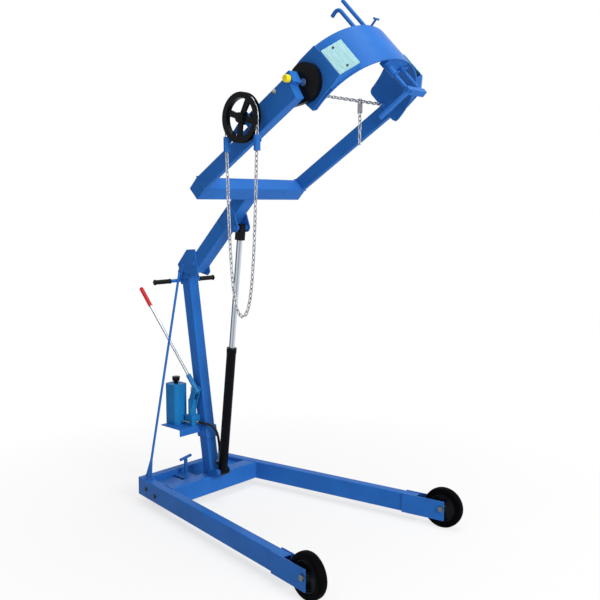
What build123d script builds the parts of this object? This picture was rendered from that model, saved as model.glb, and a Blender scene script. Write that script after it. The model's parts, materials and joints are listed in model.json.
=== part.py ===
from build123d import *
import os
from math import acos, acosh, asinh, atan2, cos, cosh, pi, radians, sin, sinh, tan

# Drum handler: a wheeled V-base with a leaning mast, a boom raised by a hand-pumped
# cylinder, and a forked yoke that carries a tilting drum saddle driven by a hand chain.
# X points forward, Y to the operator's left, Z up; millimetres.

os.makedirs("parts", exist_ok=True)

# Clearances and stock
fit_gap = 0.05
run_gap = 0.4
plate_thick = 6.35
tube_round = 5.0
origin_from_rear = 639.68

# Base frame
frame_bottom = 43.0
frame_height = 96.0
leg_rear_half = 308.0
leg_splay = radians(9.3)
leg_width = 50.8
leg_length = 1285.0
frame_wall = 4.8
rail_depth = 50.8
cross_rear = 209.0
cross_depth = 76.2
frame_bolt_spots = [(84, 93), (178, 80)]
frame_bolt_radius = 6.0
frame_bolt_head = 10.5
frame_bolt_head_height = 7.0

# Front wheels and their fork plates
wheel_radius = 101.6
wheel_side_gap = 1.9
tyre_inner_radius = 70.0
tyre_round = 12.0
wheel_hub_radius = 22.0
wheel_axle_ahead = 139.0
wheel_axle_radius = 9.5
axle_head_radius = 15.0
axle_head_height = 9.0
fork_overlap = 77.0
fork_nose = 15.0
fork_lap = 1.5

# Rear swivel casters
caster_along = 130.0
caster_half = 200.0
caster_trail = 28.0
caster_radius = 38.0
caster_width = 26.0
caster_axle_radius = 5.0
caster_head = 38.0
caster_plate_inner = 130.0
caster_pad_length = 76.0
caster_pad_width = 64.0
caster_bearing_radius = 26.0
caster_bearing_height = 7.3
caster_crown_height = 5.6
caster_cheek = 4.0
caster_cheek_gap = 2.0
caster_round = 4.0
caster_hub_radius = 12.0
kingpin_radius = 8.0
kingpin_nut_radius = 12.0
kingpin_nut_height = 6.5

# Floor lock
lock_along = 110.0
lock_side = -68.0
lock_post_radius = 10.0
lock_tube_radius = 19.0
lock_tube_low = 62.0
lock_tube_high = 120.0
lock_flange_half = 42.0
lock_post_top = 208.0
lock_bar_length = 98.0
lock_bar_radius = 8.0
lock_bar_turn = 16.0
lock_pad_radius = 30.0
lock_pad_height = 20.0
lock_collar_radius = 14.0
lock_collar_height = 8.0

# Mast, head and push handle
mast_offset = 1.9
mast_lean = radians(8.65)
mast_width = 63.5
mast_wall = 4.8
mast_length = 1149.0
mast_cap = 5.0
cheek_gap = 0.4
cheek_pad_length = 70.0
cheek_outline = [(-38, 12), (50, 83.5), (116, 78.5), (121.5, -50), (100, -65), (-23, -24)]
handle_drop = 75.5
handle_radius = 9.5
handle_half = 205.0
handle_pad_width = 70.0
handle_pad_height = 44.0
handle_pad_thick = 8.0
handle_sink = 4.0
grip_start = 103.0
grip_radius = 12.5
grip_flange_radius = 14.0
grip_end_radius = 15.5
grip_flange = 5.0
grip_cap = 4.0
brace_radius = 6.5
brace_seat = 0.2
brace_clear = 1.1
brace_rise = 47.0
brace_anchor_radius = 12.0
brace_tab_radius = 14.0
brace_tab_foot_radius = 10.0
brace_tab_drop = 30.0
brace_tab_thick = 6.0
brace_foot_along = 63.0
brace_foot_inset = 5.0
brace_foot_length = 50.0
brace_foot_width = 32.0
brace_foot_thick = 6.0
brace_flare_height = 110.0
brace_flare_tip = 10.0

# Boom and its pivot
pivot_ahead = 93.2
pivot_above = 2.1
pivot_pin_radius = 12.7
pivot_head_radius = 16.0
pin_head = 8.0
boom_angle = radians(45.0)
boom_width = 76.2
boom_wall = 4.8
boom_tail = 33.0
boom_reach = 519.0
boom_bush_radius = 19.0
ear_along = 368.4
ear_drop = 84.1
ear_radius = 24.0
ear_length = 96.0
ear_lap = 56.0
ear_pin_radius = 12.5
rod_end_half = 18.5
ear_pin_gap = 1.5

# Lift cylinder
lift_ahead = 51.8
lift_rise = 33.0
lift_lug_thick = 8.0
lift_lug_back = 72.0
lift_lug_rise = 34.0
lift_lug_slope = 14.0
lift_lug_radius = 19.0
lift_head_radius = 15.0
barrel_radius = 25.0
barrel_bore = 20.0
barrel_length = 686.0
barrel_floor = 60.0
gland_radius = 26.6
gland_length = 28.0
gland_stand = 6.0
lift_eye_radius = 22.0
lift_pin_radius = 12.7
lift_rod_radius = 15.0
piston_stop = 24.0
lift_piston_length = 40.0
rod_end_length = 65.0
rod_eye_radius = 20.0
rod_eye_bore = 13.0
port_reach = 48.0
port_half = 10.0
port_low = 27.0
port_high = 45.0

# Yoke arms and drive box
arm_angle = radians(31.8)
arm_depth = 76.2
arm_thick = 25.4
arm_wall = 3.2
box_lead = 25.9
box_gap = 28.6
box_thick = 50.8
box_low = -41.8
box_high = 66.2
box_cap = 4.0
lug_length = 24.0
lug_low = 22.0
lug_high = 76.2
trunnion_along = 735.6
trunnion_rise = 19.0
trunnion_radius = 16.0
far_eye_radius = 42.0
far_bush_radius = 23.0
collar_radius = 23.0
collar_length = 8.0

# Tilt drive
gear_module = 2.5
gear_teeth = 60
pinion_teeth = 24
gear_backlash = 0.5
gear_width = 14.0
gear_web = 6.0
gear_hub_radius = 23.5
gear_rim_depth = 8.0
gear_side_gap = 2.6
gear_clear = 1.5
pinion_clear = 5.5
housing_wall = 4.0
housing_back = 5.0
housing_cover = 3.0
housing_depth = 27.1
bracket_gap = 2.1
cover_hole_radius = 24.0
sprocket_pitch = 9.525
wheel_sprocket_teeth = 10
pinion_sprocket_teeth = 18
sprocket_width = 4.4
roller_radius = 2.54
chain_plate = 1.4
chain_plate_half = 4.4
drive_shaft_radius = 10.0
wheel_shaft_along = 443.9
wheel_shaft_rise = 41.2

# Hand chain wheel, guide and pull chain
wheel_back_gap = 40.6
hand_wheel_width = 26.0
hand_rim_height = 12.0
hand_rim_depth = 14.0
hand_rim_round = 1.4
hand_hub_radius = 22.0
spoke_root = 22.0
spoke_tip = 30.0
spoke_thick = 10.0
spoke_turns = (59.0, 161.0, 263.0, 346.0)
chain_pitch_radius = 96.0
chain_drop = 860.0
chain_links = 98
link_wire = 5.0
link_inner_width = 7.5
link_slack = 0.3
groove_gap = 0.8
guide_radius = 13.5
guide_wall = 2.0
guide_web = 6.0
guide_low = -142.0
guide_high = -77.0
guide_strap = 6.0
guide_collar_radius = 30.0
guide_arm_width = 20.0

# Tilt lock plunger
plunger_offset = (-18.6, 25.0)
plunger_radius = 6.0
plunger_tip_gap = 0.3
knob_radius = 16.5
knob_length = 26.0
knob_neck = 4.0
knob_round = 6.0

# Drum holder
holder_turn = radians(135.5)
saddle_offset = 30.0
saddle_radius = 286.0
saddle_wall = 6.0
saddle_half = 110.0
saddle_tip = 65.0
saddle_corner = 25.0
bracket_outline = [
    (-32, -102),
    (-128, -82),
    (-132, -39),
    (-132, 106),
    (-93, 109),
    (-3, 102),
    (60, 104),
    (68, 57),
]
cover_start = -134.9
cover_length = 98.0
cover_angle = radians(43.4)
cover_thick = 4.0
cover_low = -40.0
cover_high = 105.0
gusset_thick = 6.0
gusset_tail = 72.0
screw_radius = 5.0
screw_height = 3.0
screw_inset = 18.0
hook_rod_radius = 9.0
hook_rod_depth = 39.0
bottom_rod_side = -55.0
lid_rod_side = 45.0
bottom_rod_rear = -277.0
bottom_rod_front = 268.0
bottom_hook_reach = 47.0
bottom_hook_bend = 25.0
lid_rod_rear = -357.0
lid_rod_front = 250.0
lid_joint_length = 22.0
lid_joint_half = 14.0
lid_bar_reach = 160.0
lid_bar_turn = radians(19.0)
lid_bar_width = 22.0
lid_bar_thick = 12.0
guide_block_length = 28.0
guide_block_inset = 2.0
guide_block_margin = 17.0
guide_block_depth = 14.0
sleeve_radius = 15.0
lid_sleeve_rear = -160.0
bottom_sleeve_front = 165.0
screw_stem_radius = 5.0
screw_stem_length = 46.0
screw_stem_inset = 12.0
screw_bar_length = 36.0
screw_bar_radius = 4.5
screw_tip_gap = 0.3
nut_radius = 14.0
nut_length = 14.0
nut_bar_reach = 29.0
nut_bar_turn = radians(127.0)

# Cinch chain
cinch_level = 50.0
cinch_room = 12.0
cinch_lug = 16.0
hook_side = 104.0
hook_length = 46.0
hook_width = 24.0
hook_thick = 6.0
tail_links = 7
tail_sag = 0.7

# Hand pump, tank, lever and hose
shelf_top = 412.0
shelf_thick = 5.0
shelf_rear = 40.0
shelf_front = 200.0
shelf_side = -178.0
shelf_flange = 40.0
shelf_flange_end = -40.0
clamp_thick = 6.0
clamp_drop = 67.0
tank_rear = 25.0
tank_front = 121.0
tank_near = -140.0
tank_far = -55.0
tank_height = 222.0
tank_chamfer = 12.0
cap_along = 75.0
cap_side = -99.0
cap_neck_radius = 11.0
cap_neck = 15.0
cap_radius = 22.0
cap_height = 24.0
pump_along = 165.0
pump_side = -62.0
pump_block = 58.0
pump_block_height = 56.0
pump_column_radius = 22.0
pump_column_height = 84.0
pump_bore_depth = 18.0
piston_radius = 8.0
piston_room = 32.0
dome_gap = 0.73
fulcrum_ahead = 34.0
fulcrum_rise = 60.0
fulcrum_radius = 15.0
fulcrum_plate = 5.0
fulcrum_foot_rear = 10.0
fulcrum_foot_front = 12.0
fulcrum_foot_height = 45.0
fulcrum_foot_drop = 7.0
lever_angle = radians(132.2)
lever_length = 700.0
lever_pin_radius = 6.0
lever_pin_stand = 3.0
socket_radius = 13.5
socket_tail = 20.0
socket_reach = 96.0
lever_rod_radius = 7.5
lever_grip_length = 130.0
lever_grip_radius = 12.0
lever_grip_cap = 4.0
valve_rise = 24.0
valve_stem_radius = 5.0
valve_stem = 14.0
valve_seat = 8.0
valve_tip = 7.0
valve_bar_length = 44.0
valve_bar_radius = 5.0
hose_radius = 7.0
hose_fitting_radius = 10.5
hose_fitting = 18.0
hose_stem_radius = 7.5
hose_stem = 58.0
hose_port_rise = 19.0
hose_port_offset = 8.0
hose_gap = 0.7
hose_run_in = 24.0
hose_bend_share = 0.45
hose_bends = [(248, -52, 432), (290, -30, 424), (311, -12, 385)]

# Worked-out places
frame_top = frame_bottom + frame_height
cross_front = cross_rear + cross_depth
wheel_width = leg_width - 2 * wheel_side_gap
wheel_axle_along = leg_length + wheel_axle_ahead
fork_start = leg_length - fork_overlap
fork_end = wheel_axle_along + fork_nose
mast_along = cross_rear + cross_depth / 2 + mast_offset
lift_base = (cross_front + lift_ahead, frame_top + lift_rise)
mast_half = mast_width / 2
boom_half = boom_width / 2
cheek_inner = boom_half + cheek_gap
cheek_outer = cheek_inner + plate_thick
arm_half = arm_depth / 2
bracket_inner = saddle_radius + saddle_wall + fit_gap
bracket_outer = bracket_inner + plate_thick
housing_inner = bracket_outer + bracket_gap
arm_inner = housing_inner + housing_depth
yoke_half = arm_inner + arm_thick
box_outer = arm_inner + box_thick
box_start = wheel_shaft_along - box_lead
box_end = trunnion_along - box_gap
gear_pitch_radius = gear_module * gear_teeth / 2
pinion_pitch_radius = gear_module * pinion_teeth / 2
pinion_along = trunnion_along - gear_pitch_radius - pinion_pitch_radius
housing_radius = gear_pitch_radius + gear_module + gear_clear + housing_wall
housing_nose_radius = pinion_pitch_radius + gear_module + pinion_clear + housing_wall
gear_rim_radius = gear_pitch_radius - gear_rim_depth
gear_near = arm_inner - housing_back - gear_side_gap
gear_far = gear_near - gear_width
hand_wheel_radius = chain_pitch_radius + hand_rim_height
hand_rim_inner = chain_pitch_radius - hand_rim_depth
wheel_back = box_outer + wheel_back_gap
wheel_middle = wheel_back + hand_wheel_width / 2
wheel_front = wheel_back + hand_wheel_width
caster_plate_top = 2 * caster_radius + caster_head
caster_plate_bottom = caster_plate_top - plate_thick
hook_rod_level = saddle_offset - saddle_radius + hook_rod_depth
bottom_hook_tip = hook_rod_level + bottom_hook_reach
tank_top = shelf_top + tank_height
pump_block_top = shelf_top + pump_block_height
pump_column_top = pump_block_top + pump_column_height
pump_bore_floor = pump_block_top - pump_bore_depth
piston_tail = pump_bore_floor + piston_room
fulcrum_along = pump_along + fulcrum_ahead
fulcrum_height = pump_column_top + fulcrum_rise
valve_height = shelf_top + valve_rise
hose_port_height = shelf_top + hose_port_rise
hose_port_side = pump_side + hose_port_offset


def at(x, y, z):
    """Point given from the rear face of the base."""
    return Vector(x - origin_from_rear, y, z)


def elevation(base):
    """Side view of a plane whose own Y runs along the machine's Y: it faces -Y."""
    return Plane(origin=base.origin, x_dir=base.x_dir, z_dir=-base.y_dir)


plan = Plane(origin=at(0, 0, 0))
ground = elevation(plan)
leg = Plane(
    origin=at(0, -leg_rear_half, 0),
    x_dir=(cos(leg_splay), -sin(leg_splay), 0),
    z_dir=(0, 0, 1),
)
leg_view = elevation(leg)
mast_frame = Plane(
    origin=at(mast_along, 0, frame_top),
    x_dir=(cos(mast_lean), 0, sin(mast_lean)),
    z_dir=(-sin(mast_lean), 0, cos(mast_lean)),
)
mast_view = elevation(mast_frame)
boom_frame = Plane(
    origin=mast_frame.from_local_coords((pivot_ahead, 0, mast_length + pivot_above)),
    x_dir=(cos(boom_angle), 0, sin(boom_angle)),
    z_dir=(-sin(boom_angle), 0, cos(boom_angle)),
)
boom_view = elevation(boom_frame)
yoke_rear = boom_reach
yoke_front = boom_reach + boom_width
yoke_face = Plane(origin=boom_frame.from_local_coords((yoke_front, 0, 0)), z_dir=boom_frame.x_dir)
arm_frame = Plane(
    origin=yoke_face.origin,
    x_dir=(cos(arm_angle), 0, sin(arm_angle)),
    z_dir=(-sin(arm_angle), 0, cos(arm_angle)),
)
arm_view = elevation(arm_frame)
trunnion = arm_frame.from_local_coords((trunnion_along, 0, trunnion_rise))
holder_frame = Plane(
    origin=trunnion,
    x_dir=(cos(holder_turn), 0, -sin(holder_turn)),
    z_dir=(sin(holder_turn), 0, cos(holder_turn)),
)
holder_view = elevation(holder_frame)
lift_low = at(lift_base[0], 0, lift_base[1])
lift_high = boom_frame.from_local_coords((ear_along, 0, -ear_drop))
lift_line = lift_high - lift_low
lift_length = lift_line.length
lift_frame = Plane(origin=lift_low, x_dir=(lift_line.Z, 0, -lift_line.X), z_dir=lift_line)
lift_view = elevation(lift_frame)
lever_frame = Plane(
    origin=at(fulcrum_along, pump_side, fulcrum_height),
    x_dir=(sin(lever_angle), 0, -cos(lever_angle)),
    z_dir=(cos(lever_angle), 0, sin(lever_angle)),
)
hand_wheel_frame = Plane(origin=arm_frame.from_local_coords((wheel_shaft_along, 0, wheel_shaft_rise)))
hand_wheel_view = elevation(hand_wheel_frame)


def save(piece, name):
    """Label a finished piece and write it."""
    piece.part.label = name
    export_step(piece.part, f"parts/{name}.step")


def save_group(pieces, name):
    """Label several finished pieces as one node of separate solids and write it."""
    group = Compound([solid for piece in pieces for solid in piece.part.solids()])
    group.label = name
    export_step(group, f"parts/{name}.step")


def block(place, low, high, mode=Mode.ADD):
    """Box between two corners given on a plane."""
    size = [b - a for a, b in zip(low, high)]
    middle = [(a + b) / 2 for a, b in zip(low, high)]
    with Locations(place.location * Location(middle)):
        Box(*size, mode=mode)


def rod(start, end, radius, mode=Mode.ADD):
    """Round bar between two points."""
    line = Vector(end) - Vector(start)
    with Locations(Plane(origin=start, z_dir=line).location):
        Cylinder(radius, line.length, align=(Align.CENTER, Align.CENTER, Align.MIN), mode=mode)


def disc(view, spot, radius, low, high, mode=Mode.ADD):
    """Round bar along Y from low to high, placed on a side view."""
    with Locations(view.offset(-high).location * Location((spot[0], spot[1], 0))):
        Cylinder(radius, high - low, align=(Align.CENTER, Align.CENTER, Align.MIN), mode=mode)


def plate(view, points, low, high, mode=Mode.ADD):
    """Flat plate with a straight-sided outline on a side view, from low to high along Y."""
    with BuildSketch(view.offset(-high)) as outline:
        with BuildLine():
            Polyline(*points, close=True)
        make_face()
    extrude(outline.sketch, amount=high - low, mode=mode)


def hull_plate(view, circles, low, high, corners=None, mode=Mode.ADD):
    """Flat plate whose outline wraps circles and an optional straight-sided patch."""
    with BuildSketch(view.offset(-high)) as outline:
        if corners:
            with BuildLine():
                Polyline(*corners, close=True)
            make_face()
        for x, z, radius in circles:
            with Locations((x, z)):
                Circle(radius)
        make_hull()
    extrude(outline.sketch, amount=high - low, mode=mode)


def hexagon(view, spot, radius, low, high):
    """Hexagonal head along Y from low to high."""
    with BuildSketch(view.offset(-high)) as outline:
        with Locations(spot):
            RegularPolygon(radius, 6)
    extrude(outline.sketch, amount=high - low)


def leg_inner(x):
    """Half width between the inner faces of the legs at a distance from the rear."""
    return leg_rear_half + x * tan(leg_splay) - leg_width / cos(leg_splay)


def cross_bar(start, depth):
    """Solid bar between the two legs, with ends cut to their splay."""
    end = start + depth
    with BuildSketch(plan.offset(frame_bottom)) as outline:
        with BuildLine():
            Polyline(
                (start, -leg_inner(start)),
                (end, -leg_inner(end)),
                (end, leg_inner(end)),
                (start, leg_inner(start)),
                close=True,
            )
        make_face()
    extrude(outline.sketch, amount=frame_height)


def cross_bore(start, depth):
    """Hollow of a bar between the legs."""
    end = start + depth
    block(
        plan,
        (start + frame_wall, -leg_inner(end), frame_bottom + frame_wall),
        (end - frame_wall, leg_inner(end), frame_top - frame_wall),
        Mode.SUBTRACT,
    )


def link(place):
    """One round-wire chain link lying on a plane, its length along the plane's X."""
    bend = (link_inner_width + link_wire) / 2
    straight = (link_inner - link_inner_width) / 2
    with BuildLine(place) as loop:
        Line((-straight, bend), (straight, bend))
        CenterArc((straight, 0), bend, 90, -180)
        Line((straight, -bend), (-straight, -bend))
        CenterArc((-straight, 0), bend, 270, -180)
    with BuildSketch(Plane(origin=place.from_local_coords((-straight, bend, 0)), z_dir=place.x_dir)) as wire:
        Circle(link_wire / 2)
    sweep(wire.sketch, path=loop.wire())


def gear_outline(teeth, backlash, turn):
    """Points of a spur gear with involute flanks, a tooth standing at the given turn."""
    pressure = radians(20)
    pitch = gear_module * teeth / 2
    base = pitch * cos(pressure)
    tip = pitch + gear_module
    root = pitch - 1.25 * gear_module
    start = max(base, root)
    half = (pi * gear_module / 2 - backlash) / (2 * pitch) + tan(pressure) - pressure
    flank = []
    for step in range(4):
        radius = start + (tip - start) * step / 3
        lean = acos(base / radius)
        flank.append((radius, half - tan(lean) + lean))
    points = []
    for tooth in range(teeth):
        middle = turn + 2 * pi * tooth / teeth
        polar = [(root, -flank[0][1])] if root < start else []
        polar += [(radius, -angle) for radius, angle in flank]
        polar += [(radius, angle) for radius, angle in reversed(flank)]
        polar += [(root, flank[0][1])] if root < start else []
        points += [(radius * cos(middle + a), radius * sin(middle + a)) for radius, a in polar]
    return points


def shifted(points, spot):
    """Points moved to a spot on their plane."""
    return [(x + spot[0], y + spot[1]) for x, y in points]


def sprocket(spot, teeth, low, high):
    """Thin toothed disc for the drive chain, on the arm's side view."""
    radius = sprocket_pitch / (2 * sin(pi / teeth))
    with BuildSketch(arm_view.offset(-high)) as outline:
        with Locations(spot):
            Circle(radius + roller_radius)
            with PolarLocations(radius, teeth):
                Circle(roller_radius + 2 * run_gap, mode=Mode.SUBTRACT)
    extrude(outline.sketch, amount=high - low)


# Base frame
with BuildPart() as near_leg:
    with BuildSketch(leg.offset(frame_bottom)):
        with BuildLine():
            Polyline(
                (0, 0),
                (leg_length, 0),
                (leg_length, leg_width),
                (-leg_width * tan(leg_splay), leg_width),
                close=True,
            )
        make_face()
    extrude(amount=frame_height)
    fillet(near_leg.edges().filter_by(Axis(leg.origin, leg.x_dir)), tube_round)
    block(
        leg,
        (frame_wall, frame_wall, frame_bottom + frame_wall),
        (leg_length + 1, leg_width - frame_wall, frame_top - frame_wall),
        Mode.SUBTRACT,
    )
    for spot in frame_bolt_spots:
        disc(leg_view, spot, frame_bolt_radius + fit_gap, -1, frame_wall + 1, Mode.SUBTRACT)
save(near_leg, "near_leg")

with BuildPart() as far_leg:
    mirror(near_leg.part, about=Plane.XZ)
save(far_leg, "far_leg")

with BuildPart() as rear_rail:
    cross_bar(0, rail_depth)
    fillet(rear_rail.edges().filter_by(Axis.Y), tube_round)
    cross_bore(0, rail_depth)
save(rear_rail, "rear_rail")

with BuildPart() as base_crossmember:
    cross_bar(cross_rear, cross_depth)
    fillet(base_crossmember.edges().filter_by(Axis.Y), tube_round)
    cross_bore(cross_rear, cross_depth)
save(base_crossmember, "base_crossmember")

with BuildPart() as frame_bolts:
    for spot in frame_bolt_spots:
        hexagon(leg_view, spot, frame_bolt_head, -frame_bolt_head_height, 0)
        disc(leg_view, spot, frame_bolt_radius, 0, frame_wall + 6)
    mirror(about=Plane.XZ)
save(frame_bolts, "frame_bolts")

# Front fork plates, axles and wheels
axle_spot = (wheel_axle_along, wheel_radius)
fork_low = frame_bottom - fork_lap
fork_high = frame_top + fork_lap
fork_outline = [(fork_start, fork_low), (fork_end, fork_low), (fork_end, fork_high), (fork_start, fork_high)]
with BuildPart() as front_fork_plates:
    for face in (-plate_thick, leg_width):
        plate(leg_view, fork_outline, face, face + plate_thick)
    disc(
        leg_view, axle_spot, wheel_axle_radius + fit_gap, -plate_thick, leg_width + plate_thick, Mode.SUBTRACT
    )
    mirror(about=Plane.XZ)
save(front_fork_plates, "front_fork_plates")

with BuildPart() as front_axles:
    disc(leg_view, axle_spot, wheel_axle_radius, -plate_thick, leg_width + plate_thick)
    hexagon(leg_view, axle_spot, axle_head_radius, -plate_thick - axle_head_height, -plate_thick)
    nut_start = leg_width + plate_thick
    hexagon(leg_view, axle_spot, axle_head_radius, nut_start, nut_start + axle_head_height)
    mirror(about=Plane.XZ)
save(front_axles, "front_axles")

wheel_low = (leg_width - wheel_width) / 2
with BuildPart() as near_tyre:
    disc(leg_view, axle_spot, wheel_radius, wheel_low, wheel_low + wheel_width)
    fillet(near_tyre.edges().filter_by(GeomType.CIRCLE), tyre_round)
    disc(leg_view, axle_spot, tyre_inner_radius, wheel_low, wheel_low + wheel_width, Mode.SUBTRACT)

with BuildPart() as near_hub:
    disc(leg_view, axle_spot, tyre_inner_radius, wheel_low + 4, wheel_low + wheel_width - 4)
    disc(leg_view, axle_spot, wheel_hub_radius, run_gap, leg_width - run_gap)
    disc(leg_view, axle_spot, wheel_axle_radius + fit_gap, 0, leg_width, Mode.SUBTRACT)

save_group([near_tyre, near_hub], "near_front_wheel")

with BuildPart() as far_tyre:
    mirror(near_tyre.part, about=Plane.XZ)
with BuildPart() as far_hub:
    mirror(near_hub.part, about=Plane.XZ)
save_group([far_tyre, far_hub], "far_front_wheel")

# Casters: welded mounting plates with kingpins, swivelling forks and wheels
caster_pad_bottom = caster_plate_bottom - plate_thick
caster_bearing_bottom = caster_pad_bottom - caster_bearing_height
caster_crown_top = caster_bearing_bottom - run_gap
caster_crown_bottom = caster_crown_top - caster_crown_height
kingpin_top = at(caster_along, -caster_half, caster_pad_bottom)
with BuildPart() as caster_mounts:
    with BuildSketch(plan.offset(caster_plate_bottom)):
        with BuildLine():
            Polyline(
                (rail_depth, -leg_inner(rail_depth)),
                (cross_rear, -leg_inner(cross_rear)),
                (cross_rear, -caster_plate_inner),
                (rail_depth, -caster_plate_inner),
                close=True,
            )
        make_face()
    extrude(amount=plate_thick)
    block(
        plan,
        (caster_along - caster_pad_length / 2, -caster_half - caster_pad_width / 2, caster_pad_bottom),
        (caster_along + caster_pad_length / 2, -caster_half + caster_pad_width / 2, caster_plate_bottom),
    )
    rod(kingpin_top, kingpin_top - Vector(0, 0, caster_bearing_height), caster_bearing_radius)
    kingpin_nut_top = at(caster_along, -caster_half, caster_crown_bottom - run_gap)
    rod(kingpin_top, kingpin_nut_top, kingpin_radius)
    rod(kingpin_nut_top, kingpin_nut_top - Vector(0, 0, kingpin_nut_height), kingpin_nut_radius)
    mirror(about=Plane.XZ)
save(caster_mounts, "caster_mounts")

caster_wheel_along = caster_along - caster_trail
caster_inner = caster_width / 2 + caster_cheek_gap
with BuildPart() as near_caster_fork:
    crown = at(caster_along, -caster_half, caster_crown_bottom)
    rod(crown, crown + Vector(0, 0, caster_crown_height), caster_bearing_radius)
    for face in (-caster_inner - caster_cheek, caster_inner):
        low = face - caster_half
        hull_plate(
            ground,
            [(caster_wheel_along, caster_radius, caster_axle_radius + 8)],
            low,
            low + caster_cheek,
            [
                (caster_along - 18, caster_crown_bottom),
                (caster_along + 18, caster_crown_bottom),
                (caster_along + 18, caster_crown_top),
                (caster_along - 18, caster_crown_top),
            ],
        )
    axle_half = caster_inner + caster_cheek + 2
    disc(
        ground,
        (caster_wheel_along, caster_radius),
        caster_axle_radius,
        -caster_half - axle_half,
        -caster_half + axle_half,
    )
    rod(crown, crown + Vector(0, 0, caster_crown_height), kingpin_radius + fit_gap, Mode.SUBTRACT)
save(near_caster_fork, "near_caster_fork")

with BuildPart() as near_caster_wheel:
    caster_spot = (caster_wheel_along, caster_radius)
    caster_face = caster_half + caster_width / 2
    disc(ground, caster_spot, caster_radius, -caster_face, -caster_face + caster_width)
    fillet(near_caster_wheel.edges().filter_by(GeomType.CIRCLE), caster_round)
    disc(
        ground,
        caster_spot,
        caster_hub_radius,
        -caster_half - caster_inner + run_gap,
        -caster_half + caster_inner - run_gap,
    )
    disc(
        ground,
        caster_spot,
        caster_axle_radius + fit_gap,
        -caster_half - caster_inner,
        -caster_half + caster_inner,
        Mode.SUBTRACT,
    )
save(near_caster_wheel, "near_caster_wheel")

with BuildPart() as far_caster_fork:
    mirror(near_caster_fork.part, about=Plane.XZ)
save(far_caster_fork, "far_caster_fork")

with BuildPart() as far_caster_wheel:
    mirror(near_caster_wheel.part, about=Plane.XZ)
save(far_caster_wheel, "far_caster_wheel")

# Floor lock: a guide tube on a plate, and a stamped-down post with pedal bar and rubber foot
with BuildPart() as floor_lock_housing:
    block(
        plan,
        (rail_depth, lock_side - lock_flange_half, caster_plate_bottom),
        (cross_rear, lock_side + lock_flange_half, caster_plate_top),
    )
    rod(at(lock_along, lock_side, lock_tube_low), at(lock_along, lock_side, lock_tube_high), lock_tube_radius)
    rod(
        at(lock_along, lock_side, lock_tube_low),
        at(lock_along, lock_side, lock_tube_high),
        lock_post_radius + fit_gap,
        Mode.SUBTRACT,
    )
save(floor_lock_housing, "floor_lock_housing")

with BuildPart() as lock_post:
    rod(
        at(lock_along, lock_side, lock_pad_height),
        at(lock_along, lock_side, lock_post_top),
        lock_post_radius,
    )
    rod(
        at(lock_along, lock_side, lock_pad_height),
        at(lock_along, lock_side, lock_pad_height + lock_collar_height),
        lock_collar_radius,
    )
    bar_turn = radians(lock_bar_turn)
    bar_half = Vector(-sin(bar_turn), cos(bar_turn), 0) * (lock_bar_length / 2)
    bar_middle = at(lock_along, lock_side, lock_post_top + lock_bar_radius - 1)
    rod(bar_middle - bar_half, bar_middle + bar_half, lock_bar_radius)

with BuildPart() as lock_pad:
    rod(at(lock_along, lock_side, 0), at(lock_along, lock_side, lock_pad_height), lock_pad_radius)

save_group([lock_post, lock_pad], "floor_lock_pedal")

# Mast, head cheeks, side brace and push handle
with BuildPart() as mast:
    block(mast_frame, (-mast_half, -mast_half, -mast_width), (mast_half, mast_half, mast_length))
    fillet(mast.edges().filter_by(Axis(mast_frame.origin, mast_frame.z_dir)), tube_round)
    bore_half = mast_half - mast_wall
    block(
        mast_frame,
        (-bore_half, -bore_half, -mast_width - 1),
        (bore_half, bore_half, mast_length - mast_cap),
        Mode.SUBTRACT,
    )
    split(bisect_by=Plane.XY.offset(frame_top), keep=Keep.TOP)
save(mast, "mast")

pivot_spot = (pivot_ahead, mast_length + pivot_above)
with BuildPart() as mast_cheeks:
    plate(mast_view, shifted(cheek_outline, (0, mast_length)), cheek_inner, cheek_outer)
    block(
        mast_frame,
        (-mast_half, mast_half, mast_length - cheek_pad_length),
        (mast_half, cheek_inner, mast_length),
    )
    disc(mast_view, pivot_spot, pivot_pin_radius + fit_gap, mast_half, cheek_outer, Mode.SUBTRACT)
    mirror(about=Plane.XZ)
save(mast_cheeks, "mast_cheeks")

with BuildPart() as boom_pivot_pin:
    disc(mast_view, pivot_spot, pivot_pin_radius, -cheek_outer, cheek_outer)
    for face in (-cheek_outer - pin_head, cheek_outer):
        hexagon(mast_view, pivot_spot, pivot_head_radius, face, face + pin_head)
save(boom_pivot_pin, "boom_pivot_pin")

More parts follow.
